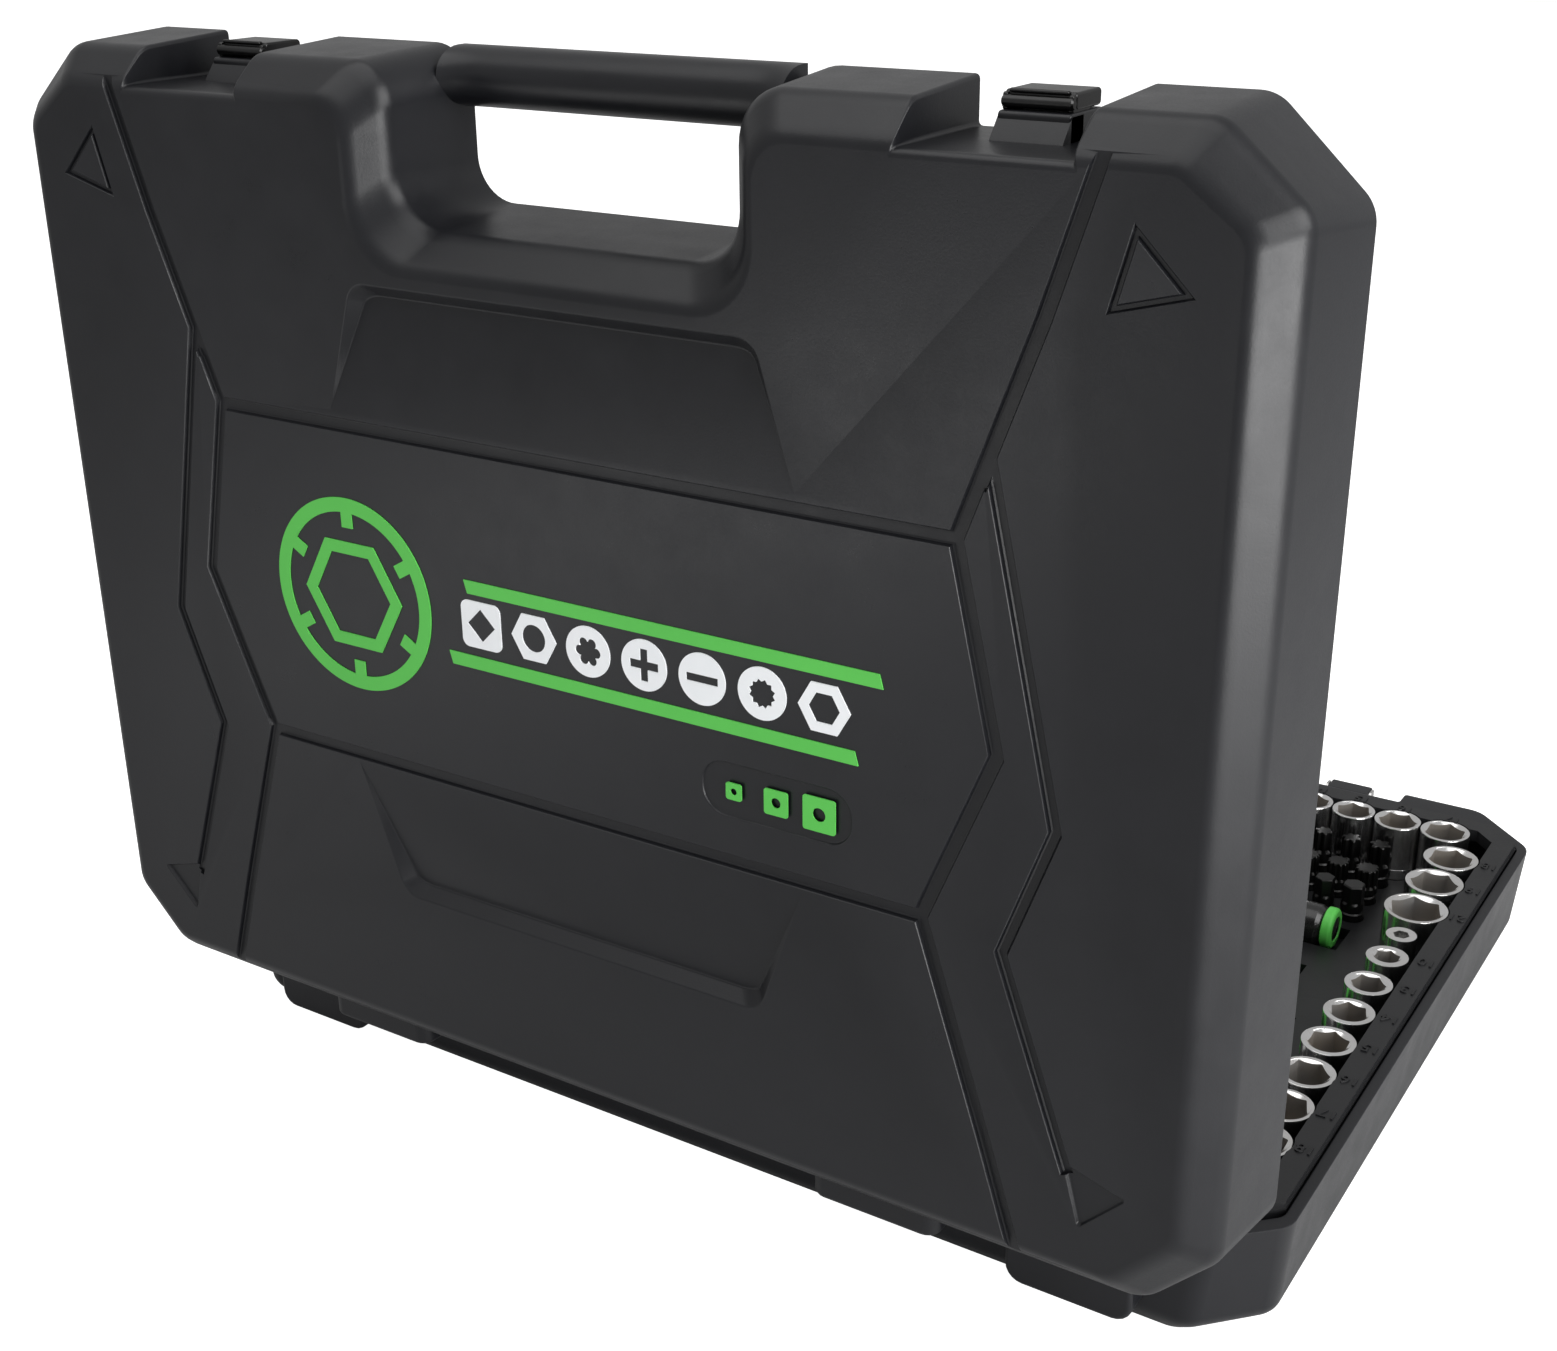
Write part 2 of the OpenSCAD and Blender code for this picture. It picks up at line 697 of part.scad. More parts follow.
// Two spark plug sockets lying on their sides
plug_x = 122;
plug_y = [-104, -76];
plug_d = [25, 22];
module spark_plug_sockets() {
    color(chrome) for (i = [0 : 1])
        translate([plug_x, plug_y[i], tray_z + 2]) rotate([0, 90, 0]) difference() {
            cylinder(d = plug_d[i], h = 66);
            translate([0, 0, 22]) cylinder(d = (plug_d[i] - 4) / cos(30) * 0.98, h = 60, $fn = 6);
            translate([0, 0, -1]) rotate(45) cylinder(d = drive_half * sqrt(2), h = 24, $fn = 4);
        }
}

// Deep half-inch sockets lying side by side
deep_row = [[10, 18], [13, 20], [17, 24], [19, 26.5], [21, 29]];
deep_len = 66;
deep_y = 112;
function deep_x(i) = 82 + along(deep_row, i, row_gap + 4);
module deep_sockets() {
    color(chrome) for (i = [0 : len(deep_row) - 1]) let (s = deep_row[i])
        translate([deep_x(i), deep_y, lie_z]) rotate([-90, 0, 0]) difference() {
            cylinder(d = s[1], h = deep_len);
            translate([0, 0, 20]) cylinder(d = s[0] / cos(30), h = deep_len, $fn = 6);
            translate([0, 0, -1]) rotate(45) cylinder(d = drive_half * sqrt(2), h = 22, $fn = 4);
        }
}

// Rail that holds screwdriver bits upright
rail_x = 99;
rail_y = -row_y - 4;
rail_n = 12;
rail_pitch = 9.5;
module bit_rail() {
    color(black_plastic) translate([rail_x, rail_y - 6, tray_z]) difference() {
        cube([rail_n * rail_pitch, 12, 9]);
        for (i = [0 : rail_n - 1]) translate([(i + 0.5) * rail_pitch, 6, 2])
            cylinder(d = 7.4, h = 9, $fn = 6);
    }
}

module screwdriver_bits() {
    color(chrome) for (i = [0 : rail_n - 1])
        translate([rail_x + (i + 0.5) * rail_pitch, rail_y, tray_z + 2]) {
            cylinder(d = 7.2, h = 16, $fn = 6);
            translate([0, 0, 16]) cylinder(d1 = 5.6, d2 = 2 + 0.2 * i, h = 7);
        }
}

// ---------- ratchets ----------

// [length, head diameter, head thickness, grip diameter, drive size, head centre x, y, head bottom z]
big = [255, 42, 19, 30, drive_half, 36, 18, tray_z - 8];
mid = [200, 34, 16, 26, drive_mid, -4, -30, tray_z - 6];
small = [150, 25, 12.5, 20, drive_small, -56.5, -75, tray_z - 1.5];

function ratchet_z(r) = r[7] + r[2] / 2;
function grip_len(r) = r[0] * 0.47;
function grip_end(r) = r[5] - r[0] + r[1] / 2;

module at_head(r) {
    translate([r[5], r[6], r[7]]) children();
}

module ratchet_body(r) {
    color(chrome) at_head(r) difference() {
        union() {
            cylinder(d = r[1], h = r[2]);
            translate([0, 0, r[2] / 2]) rotate([0, -90, 0])
                cylinder(d1 = r[2] - 1, d2 = r[3] * 0.42, h = r[0] * 0.28);
            translate([0, 0, r[2] / 2]) rotate([0, -90, 0]) cylinder(d = r[3] * 0.42, h = r[0] * 0.62);
        }
        translate([0, 0, -1]) cylinder(r = socket_seat(r) + run_gap, h = r[2] * 0.5 + 1);
        translate([0, 0, r[2] - 3]) cylinder(r = r[1] * 0.3 + 0.3, h = 4);
        translate([0, 0, -1]) cylinder(r = button_r(r) + run_gap, h = r[2] + 2);
    }
}

selector_up = 2.4;
button_up = 2.2;
function socket_seat(r) = r[1] * 0.32;
function button_r(r) = r[4] * 0.26;

module ratchet_grip(r) {
    g = grip_len(r);
    color(black_plastic) at_head(r) translate([grip_end(r) - r[5] + 6, 0, r[2] / 2]) rotate([0, 90, 0])
        difference() {
            rotate_extrude() polygon([[0, 0], [r[3] * 0.5 - 2, 0], [r[3] * 0.5, 3], [r[3] * 0.5, g * 0.35],
                [r[3] * 0.42, g * 0.62], [r[3] * 0.46, g * 0.8], [r[3] * 0.36, g - 6], [0, g - 6]]);
            translate([0, 0, g - 6 - (r[0] * 0.62 - (r[0] - r[1] / 2 - g)) - 0.02])
                cylinder(d = r[3] * 0.42, h = g);
        }
}

module ratchet_ring(r) {
    color(green) at_head(r) translate([grip_end(r) - r[5], 0, r[2] / 2]) rotate([0, 90, 0])
        rotate_extrude() polygon([[0, 0], [r[3] * 0.34, 0], [r[3] * 0.46, 1.6], [r[3] * 0.5, 4],
            [r[3] * 0.5 - 1, 6], [0, 6]]);
}

// Reversing lever: a disc let into the head and a thumb tab that sweeps over its top
module ratchet_selector(r) {
    color(black_plastic) at_head(r) difference() {
        union() {
            translate([0, 0, r[2] - 3 + gap]) cylinder(r = r[1] * 0.3, h = 3 + selector_up - gap);
            translate([-r[1] * 0.46, -r[1] * 0.1, r[2] + gap])
                cube([r[1] * 0.46, r[1] * 0.2, selector_up - gap]);
        }
        translate([0, 0, r[2] - 4]) cylinder(r = button_r(r) + run_gap, h = 5 + selector_up);
    }
}

// Drive square with the round seat that turns in the head
module ratchet_drive(r) {
    color(chrome) at_head(r) difference() {
        union() {
            translate([0, 0, 0.4]) cylinder(r = socket_seat(r), h = r[2] * 0.5 - 0.8);
            translate([-r[4] / 2, -r[4] / 2, -r[4] * 0.95]) cube([r[4], r[4], r[4] * 0.95 + 1]);
        }
        translate([0, 0, -r[4]]) cylinder(r = button_r(r) + run_gap, h = r[2] + r[4]);
    }
}

module ratchet_button(r) {
    color(chrome) at_head(r) translate([0, 0, -r[4] * 0.6])
        cylinder(r = button_r(r), h = r[4] * 0.6 + r[2] + selector_up + button_up);
}

module ratchet_half_body() { ratchet_body(big); }
module ratchet_half_grip() { ratchet_grip(big); }
module ratchet_half_ring() { ratchet_ring(big); }
module ratchet_half_selector() { ratchet_selector(big); }
module ratchet_half_drive() { ratchet_drive(big); }
module ratchet_half_button() { ratchet_button(big); }
module ratchet_mid_body() { ratchet_body(mid); }
module ratchet_mid_grip() { ratchet_grip(mid); }
module ratchet_mid_ring() { ratchet_ring(mid); }
module ratchet_mid_selector() { ratchet_selector(mid); }
module ratchet_mid_drive() { ratchet_drive(mid); }
module ratchet_mid_button() { ratchet_button(mid); }
module ratchet_small_body() { ratchet_body(small); }
module ratchet_small_grip() { ratchet_grip(small); }
module ratchet_small_ring() { ratchet_ring(small); }
module ratchet_small_selector() { ratchet_selector(small); }
module ratchet_small_drive() { ratchet_drive(small); }
module ratchet_small_button() { ratchet_button(small); }

// ---------- bars, extensions and joints ----------

// [left end x, y, length, shank diameter, end diameter, drive size]
ext_long = [-205, 62, 250, 13, 22, drive_half];
ext_short = [72, 88, 125, 13, 22, drive_half];
ext_mid = [-205, 102, 150, 9.5, 16.5, drive_mid];
ext_small = [-42, 102, 100, 6.5, 12, drive_small];
lie_z = tray_z + 3;

module extension(e) {
    color(chrome) translate([e[0], e[1], lie_z]) rotate([0, 90, 0]) difference() {
        union() {
            cylinder(d = e[4], h = 26);
            translate([0, 0, 26]) cylinder(d1 = e[4], d2 = e[3], h = 5);
            cylinder(d = e[3], h = e[2] - 14);
            translate([0, 0, e[2] - 26]) cylinder(d = e[4] - 4, h = 12);
            translate([-e[5] / 2, -e[5] / 2, e[2] - 15]) cube([e[5], e[5], 15]);
        }
        translate([0, 0, -1]) rotate(45) cylinder(d = (e[5] + 0.1) * sqrt(2), h = 16, $fn = 4);
    }
}

module extension_half_long() { extension(ext_long); }
module extension_half_short() { extension(ext_short); }
module extension_mid() { extension(ext_mid); }
module extension_small() { extension(ext_small); }

// Screwdriver-type handle with a quarter-inch drive: [grip end x, y, grip length, grip diameter]
spin = [10, -56, 98, 27];

module at_spinner() {
    translate([spin[0], spin[1], tray_z + 4]) rotate([0, 90, 0]) children();
}

module spinner_grip() {
    color(black_plastic) at_spinner() difference() {
        rotate_extrude() polygon([[0, 6], [spin[3] / 2 - 1, 6], [spin[3] / 2, 9], [spin[3] / 2, 55],
            [spin[3] * 0.38, 74], [spin[3] * 0.44, 88], [spin[3] * 0.34, spin[2]], [0, spin[2]]]);
        translate([0, 0, 60]) cylinder(d = 7, h = spin[2]);
    }
}

module spinner_ring() {
    color(green) at_spinner() rotate_extrude()
        polygon([[0, 0], [spin[3] * 0.36, 0], [spin[3] * 0.47, 2], [spin[3] * 0.5, 4.5],
            [spin[3] / 2 - 1, 6], [0, 6]]);
}

module spinner_shaft() {
    color(chrome) at_spinner() {
        translate([0, 0, 60]) cylinder(d = 7, h = 92);
        translate([-drive_small / 2, -drive_small / 2, 150]) cube([drive_small, drive_small, 9]);
    }
}

// Sliding T-bar: a bar with the drive head on it
bar = [-202, 147, 250, 12];
head_x = 40;

module sliding_bar() {
    color(chrome) translate([bar[0], bar[1], tray_z + 4]) rotate([0, 90, 0]) {
        cylinder(d = bar[3], h = bar[2]);
        for (z = [0.01, bar[2] - 2.01]) translate([0, 0, z]) cylinder(d = bar[3] + 1.6, h = 2);
    }
}

module sliding_head() {
    color(chrome) translate([bar[0] + head_x, bar[1], tray_z + 4]) difference() {
        union() {
            rotate([0, 90, 0]) cylinder(d = 23, h = 26, center = true);
            translate([-drive_half / 2, -drive_half / 2, 10]) cube([drive_half, drive_half, 16]);
        }
        rotate([0, 90, 0]) cylinder(r = bar[3] / 2 + run_gap, h = 40, center = true);
    }
}

// Universal joint lying in a well: yoke, cross and yoke along X
uj = [128, 30, tray_z - 4];
uj_d = 25;

module at_joint() {
    translate([uj[0], uj[1], uj[2]]) children();
}

// Yoke with two ears across the given turn about X
module yoke(turn) {
    ear = 5;
    ear_w = 11;
    rotate([turn, 0, 0]) difference() {
        union() {
            translate([-34, 0, 0]) rotate([0, 90, 0]) cylinder(d = uj_d, h = 18);
            intersection() {
                translate([-18, 0, 0]) rotate([0, 90, 0]) cylinder(d = uj_d, h = 24);
                union() {
                    for (s = [-1, 1]) translate([-18, s * (uj_d / 2 - ear / 2) - ear / 2, -ear_w / 2])
                        cube([24, ear, ear_w]);
                }
            }
        }
        rotate([90, 0, 0]) cylinder(r = 3 + run_gap, h = uj_d + 4, center = true);
        translate([-17, -uj_d / 2 + ear, -uj_d]) cube([uj_d, uj_d - 2 * ear, 2 * uj_d]);
    }
}

module universal_socket_yoke() {
    color(chrome) at_joint() difference() {
        yoke(0);
        translate([-35, 0, 0]) rotate([0, 90, 0]) rotate(45)
            cylinder(d = (drive_half + 0.1) * sqrt(2), h = 14, $fn = 4);
    }
}

module universal_cross() {
    color(chrome) at_joint() {
        cube([11, 11, 11], center = true);
        rotate([90, 0, 0]) cylinder(r = 3, h = uj_d - 1, center = true);
        cylinder(r = 3, h = uj_d - 1, center = true);
    }
}

module universal_drive_yoke() {
    color(chrome) at_joint() {
        mirror([1, 0, 0]) yoke(90);
        translate([33, -drive_half / 2, -drive_half / 2]) cube([16, drive_half, drive_half]);
    }
}

// Two step-up and step-down drive reducers standing in a row
red_x = [112, 142];
red_y = -row_y + 28;
module reducers() {
    color(chrome) for (i = [0 : 1]) translate([red_x[i], red_y, short_z]) difference() {
        union() {
            cylinder(d = 22 - 5 * i, h = 18);
            translate([-drive_mid / 2, -drive_mid / 2, 17]) cube([drive_mid, drive_mid, 12]);
        }
        translate([0, 0, -1]) rotate(45)
            cylinder(d = (i == 0 ? drive_half : drive_mid) * sqrt(2), h = 13, $fn = 4);
    }
}

// ---------- tray ----------

// Round pocket at a place
module round_pocket(x, y, z, d, g) {
    translate([x, y, z - g])
        cylinder(d = d + 2 * pocket_gap + 2 * g, h = (g > 0 ? tray_z : half_h + band_up + 1) - z);
}

// Rectangular pocket from one corner to the other
module box_pocket(x0, y0, x1, y1, z, g) {
    translate([x0 - g, y0 - g, z - g])
        cube([x1 - x0 + 2 * g, y1 - y0 + 2 * g, tray_z - z + (g > 0 ? g : 1)]);
}

// Pocket for a ratchet: head, drive hole, shank and grip
module ratchet_pocket(r, g) {
    round_pocket(r[5], r[6], r[7] - gap, r[1] + 1, g);
    round_pocket(r[5], r[6], r[7] - r[4] * 0.95 - 1, r[4] * sqrt(2) + 2, g);
    box_pocket(grip_end(r) - 3, r[6] - r[3] / 2 - 1, grip_end(r) + grip_len(r) + 2, r[6] + r[3] / 2 + 1,
        ratchet_z(r) - r[3] / 2 - 0.5, g);
    box_pocket(grip_end(r) + grip_len(r), r[6] - r[3] * 0.3, r[5], r[6] + r[3] * 0.3,
        ratchet_z(r) - r[2] / 2 - 0.3, g);
}

module extension_pocket(e, g) {
    box_pocket(e[0] - 2, e[1] - e[4] / 2 - 1, e[0] + e[2] + 2, e[1] + e[4] / 2 + 1,
        lie_z - e[4] / 2 - 0.4, g);
}

// Every pocket of the tray, grown by g to form the cup round it
module pockets(g) {
    for (i = [0 : len(front_row) - 1]) round_pocket(front_x(i), -row_y, stand_z, front_row[i][1], g);
    for (i = [0 : len(side_row) - 1]) round_pocket(-row_x, side_y(i), stand_z, side_row[i][1], g);
    for (i = [0 : len(mid_row) - 1]) round_pocket(-row_x - 1, mid_y(i), stand_z, mid_row[i][1], g);
    for (i = [0 : len(large_row) - 1]) round_pocket(large_px(i), large_y(i), stand_z, large_row[i][1], g);
    for (i = [0 : len(small_row) - 1])
        round_pocket(small_x(i), small_y, short_z, small_row[i][1], g);
    round_pocket(-row_x - 1, adaptor_y, stand_z, 16, g);
    for (y = bit_y, i = [0 : bit_cols - 1]) round_pocket(bit_x(i), y, short_z, bit_d, g);
    for (i = [0 : 1]) {
        box_pocket(plug_x - 2, plug_y[i] - plug_d[i] / 2 - 1, plug_x + 68, plug_y[i] + plug_d[i] / 2 + 1,
            tray_z + 1.5 - plug_d[i] / 2, g);
        round_pocket(red_x[i], red_y, short_z, 22 - 5 * i, g);
    }
    for (r = [big, mid, small]) ratchet_pocket(r, g);
    for (e = [ext_long, ext_short, ext_mid, ext_small]) extension_pocket(e, g);
    box_pocket(spin[0] - 2, spin[1] - spin[3] / 2 - 1, spin[0] + 162, spin[1] + spin[3] / 2 + 1,
        tray_z + 3.5 - spin[3] / 2, g);
    box_pocket(bar[0] - 2, bar[1] - 12.5, bar[0] + bar[2] + 2, bar[1] + 12.5, tray_z + 4 - 12, g);
    box_pocket(uj[0] - 40, uj[1] - 27, uj[0] + 54, uj[1] + 27, uj[2] - uj_d / 2 - 3, g);
    for (i = [0 : len(deep_row) - 1])
        box_pocket(deep_x(i) - deep_row[i][1] / 2 - 0.8, deep_y - 1, deep_x(i) + deep_row[i][1] / 2 + 0.8,
            deep_y + deep_len + 1, lie_z - deep_row[i][1] / 2 - 0.4, g);
}

module tool_tray() {
    color(black_plastic) difference() {
        union() {
            intersection() {
                half_form(wall + 0.4, wall);
                union() {
                    translate([0, 0, tray_z - sheet]) linear_extrude(sheet) tray_flat(0.6);
                    translate([0, 0, wall + 1]) linear_extrude(half_h - wall - 1) difference() {
                        tray_flat(0.6);
                        tray_flat(0.6 + sheet);
                    }
                }
            }
            translate([0, 0, half_h - 3]) linear_extrude(3 + band_up) difference() {
                tray_flat(1);
                tray_flat(band_w + 1);
            }
            intersection() {
                pockets(sheet - 0.5);
                translate([0, 0, wall + 1]) linear_extrude(tray_z - wall - 1.5) tray_flat(0.7);
            }
        }
        pockets(0);
    }
}

// Outline of the tray inside the shell, drawn in by a distance
module tray_flat(in) {
    x = half_w - 5 - in;
    y0 = -half_d + bay_in + wall + in;
    y1 = half_d - 5 - in;
    ledge = -half_d + ledge_in + bevel + wall + 1 + in;
    bay_x = hole_w / 2 + draft + bevel + wall + in;
    side_y0 = -half_d + front_cut + 3 + in / 2;
    front_x0 = half_w - front_cut + bay_in - 5 - in / 2;
    cut = rear_cut - 2 - in / 2;
    polygon([[-x, side_y0], [-front_x0, y0], [-bay_x, y0], [-bay_x, ledge], [bay_x, ledge], [bay_x, y0],
        [front_x0, y0], [x, side_y0], [x, y1 - cut], [x - cut, y1], [-x + cut, y1], [-x, y1 - cut]]);
}

base_shell();
tool_tray();
latch_keepers();
hinge_pins();
lid_shell();
lid_inner_panel();
emblem_ring();
emblem_stripes();
drive_marks();
size_plate_marks();
latch_lever_pins();
latch_lever(-1);  // latch_lever_left
latch_lever(1);  // latch_lever_right
latch_loop(-1);  // latch_loop_left
latch_loop(1);  // latch_loop_right
sockets_half_front();
sockets_half_side();
sockets_half_large();
sockets_mid_side();
sockets_quarter();
bit_adaptor();
star_bit_sockets();
spline_bit_sockets();
hex_bit_sockets();
spark_plug_sockets();
deep_sockets();
bit_rail();
screwdriver_bits();
ratchet_half_body();
ratchet_half_grip();
ratchet_half_ring();
ratchet_half_selector();
ratchet_half_drive();
ratchet_half_button();
ratchet_mid_body();
ratchet_mid_grip();
ratchet_mid_ring();
ratchet_mid_selector();
ratchet_mid_drive();
ratchet_mid_button();
ratchet_small_body();
ratchet_small_grip();
ratchet_small_ring();
ratchet_small_selector();
ratchet_small_drive();
ratchet_small_button();
extension_half_long();
extension_half_short();
extension_mid();
extension_small();
spinner_grip();
spinner_ring();
spinner_shaft();
sliding_bar();
sliding_head();
universal_socket_yoke();
universal_cross();
universal_drive_yoke();
reducers();
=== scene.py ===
import json
import math
import bpy
import bmesh
import numpy as np
from mathutils import Matrix


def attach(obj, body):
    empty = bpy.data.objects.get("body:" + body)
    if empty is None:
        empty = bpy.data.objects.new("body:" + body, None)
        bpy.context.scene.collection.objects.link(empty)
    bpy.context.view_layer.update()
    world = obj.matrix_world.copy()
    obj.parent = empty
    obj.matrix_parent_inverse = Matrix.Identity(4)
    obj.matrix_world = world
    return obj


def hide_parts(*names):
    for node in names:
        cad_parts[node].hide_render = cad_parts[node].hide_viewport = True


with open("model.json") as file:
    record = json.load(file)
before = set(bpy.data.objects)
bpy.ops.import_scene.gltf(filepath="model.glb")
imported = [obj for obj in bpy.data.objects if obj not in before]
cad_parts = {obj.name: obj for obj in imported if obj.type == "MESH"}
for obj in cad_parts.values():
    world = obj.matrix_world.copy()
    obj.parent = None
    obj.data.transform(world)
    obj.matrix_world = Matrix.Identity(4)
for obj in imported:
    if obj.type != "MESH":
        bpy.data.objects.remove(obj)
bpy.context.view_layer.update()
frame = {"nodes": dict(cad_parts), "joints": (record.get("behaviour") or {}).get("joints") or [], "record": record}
mm = 0.001
record = frame["record"]
joints = {j["name"]: j for j in frame["joints"]}
hingeY, hingeZ = (joints["lid_hinge"]["pos_m"][k] / mm for k in (1, 2))
halfHeight = hingeZ
print("frame loaded,", len(frame["nodes"]), "nodes")


# places on a closed half, in mm: across from the middle, along from the hinge line, deep from the outer face

def onLid(p):                                  # stands up behind the hinge line, outer face away from the tools
    p = np.asarray(p, float)
    return np.stack([-p[..., 0], hingeY + halfHeight - p[..., 2], hingeZ + p[..., 1]], -1) * mm


def onBase(p):                                 # the half lies on its outer face
    p = np.asarray(p, float)
    return np.stack([-p[..., 0], hingeY - p[..., 1], p[..., 2]], -1) * mm


# ---- meshes from grids and profiles

def filletPath(corners, steps):
    # each corner (x, y, radius) turns into an arc that touches both sides, cut into its number of steps
    c = np.array(corners, float)
    p, r = c[:, :2], c[:, 2:]
    back, ahead = np.roll(p, 1, 0) - p, np.roll(p, -1, 0) - p
    back /= np.linalg.norm(back, axis=1, keepdims=True)
    ahead /= np.linalg.norm(ahead, axis=1, keepdims=True)
    wide = np.arccos(np.clip((back * ahead).sum(1), -1, 1))
    turn = math.pi - wide
    reach = r / np.tan(wide / 2)[:, None]
    between = back + ahead
    between /= np.linalg.norm(between, axis=1, keepdims=True)
    middle = p + between * r / np.sin(wide / 2)[:, None]
    path = []
    for i, n in enumerate(steps):
        s = np.linspace(0, 1, n + 1)[:, None]
        a, b = p[i] + back[i] * reach[i] - middle[i], p[i] + ahead[i] * reach[i] - middle[i]
        arc = np.sin((1 - s) * turn[i]) * a + np.sin(s * turn[i]) * b
        path.append(middle[i] + arc / math.sin(turn[i]))
    return np.vstack(path)


def stackRings(rings, capFirst=True, capLast=True):
    # rings of equal length joined by four-sided faces, with a flat face on the first and the last
    rings = np.asarray(rings, float)
    m, n = rings.shape[:2]
    here = np.arange(m - 1)[:, None] * n + np.arange(n)
    ahead = np.arange(m - 1)[:, None] * n + (np.arange(n) + 1) % n
    faces = np.stack([here, ahead, ahead + n, here + n], -1).reshape(-1, 4).tolist()
    if capFirst:
        faces.append(list(range(n))[::-1])
    if capLast:
        faces.append(list(range((m - 1) * n, m * n)))
    return rings.reshape(-1, 3), faces


def join(*shapes):
    points, faces, start = [], [], 0
    for p, f in shapes:
        points.append(p)
        faces += [[k + start for k in face] for face in f]
        start += len(p)
    return np.vstack(points), faces


def lift(outline, deep):                       # a flat outline at one depth, or at a depth for each point
    outline = np.asarray(outline, float)
    return np.column_stack([outline, np.broadcast_to(deep, (len(outline),))])


def curveThrough(a, b, c, n):                  # quadratic curve from a to c that is pulled towards b
    s = np.linspace(0, 1, n)[:, None, None]
    return (1 - s) ** 2 * a + 2 * s * (1 - s) * b + s ** 2 * c


def softBlock(x, y, z, edge, corner, axis):
    # a block from low to high limits: a round-cornered outline swept along one axis,
    # drawn in along a quarter circle at both ends
    spans = [np.array(x, float), np.array(y, float), np.array(z, float)]
    a, b = [k for k in range(3) if k != axis]
    q = np.linspace(0, math.pi / 2, 5)
    drawnIn, along = edge * (1 - np.sin(q)), edge * (1 - np.cos(q))
    inset = np.concatenate([drawnIn, drawnIn[::-1]])
    level = np.concatenate([spans[axis][0] + along, spans[axis][1] - along[::-1]])
    rings = []
    for t, h in zip(inset, level):
        lo, hi = [spans[k][0] + t for k in (a, b)], [spans[k][1] - t for k in (a, b)]
        r = max(corner - t, 0.15)
        corners = [(lo[0], lo[1], r), (hi[0], lo[1], r), (hi[0], hi[1], r), (lo[0], hi[1], r)]
        flat = filletPath(corners, [5] * 4)
        ring = np.zeros((len(flat), 3))
        ring[:, a], ring[:, b], ring[:, axis] = flat[:, 0], flat[:, 1], h
        rings.append(ring)
    return stackRings(rings)


def makeMesh(name, points, faces):
    mesh = bpy.data.meshes.new(name)
    mesh.from_pydata(np.asarray(points).tolist(), [], faces)
    work = bmesh.new()
    work.from_mesh(mesh)
    bmesh.ops.recalc_face_normals(work, faces=work.faces)
    work.to_mesh(mesh)
    work.free()
    return mesh


def makeObject(name, points, faces):
    piece = bpy.data.objects.new(name, makeMesh(name, points, faces))
    bpy.context.scene.collection.objects.link(piece)
    return piece


def vertexPlaces(mesh):
    places = np.empty(len(mesh.vertices) * 3)
    mesh.vertices.foreach_get("co", places)
    return places.reshape(-1, 3)


def settle(piece):                             # replaces the mesh by the outcome of its modifiers
    bpy.context.view_layer.update()
    done = bpy.data.meshes.new_from_object(piece.evaluated_get(bpy.context.evaluated_depsgraph_get()))
    piece.modifiers.clear()
    old, piece.data = piece.data, done
    bpy.data.meshes.remove(old)
    return piece


def cut(piece, shapes):
    for points, faces in shapes:
        tool = makeObject("tool", points, faces)
        step = piece.modifiers.new("cut", "BOOLEAN")
        step.operation, step.solver, step.object = "DIFFERENCE", "EXACT", tool
        settle(piece)
        bpy.data.objects.remove(tool)
    return piece


def finishPiece(piece, material, body, replaced=(), sharp=30):
    piece.data.shade_smooth()
    piece.data.set_sharp_from_angle(angle=math.radians(sharp))
    even = piece.modifiers.new("even shading", "WEIGHTED_NORMAL")      # large flat faces stay flat
    even.keep_sharp, even.weight = True, 80
    settle(piece)
    piece.data.materials.clear()
    piece.data.materials.append(material)
    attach(piece, body)
    if replaced:
        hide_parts(*replaced)
    return piece


# ---- shader maths

class Wire:                                    # one output in a material, so that maths reads as plain arithmetic
    def __init__(self, finish, socket):
        self.finish, self.socket = finish, socket

    def work(self, how, a, b):
        return self.finish.node("Math", {"operation": how}, {0: a, 1: b})

    def __add__(self, other):
        return self.work("ADD", self, other)

    def __mul__(self, other):
        return self.work("MULTIPLY", self, other)

    __radd__, __rmul__ = __add__, __mul__


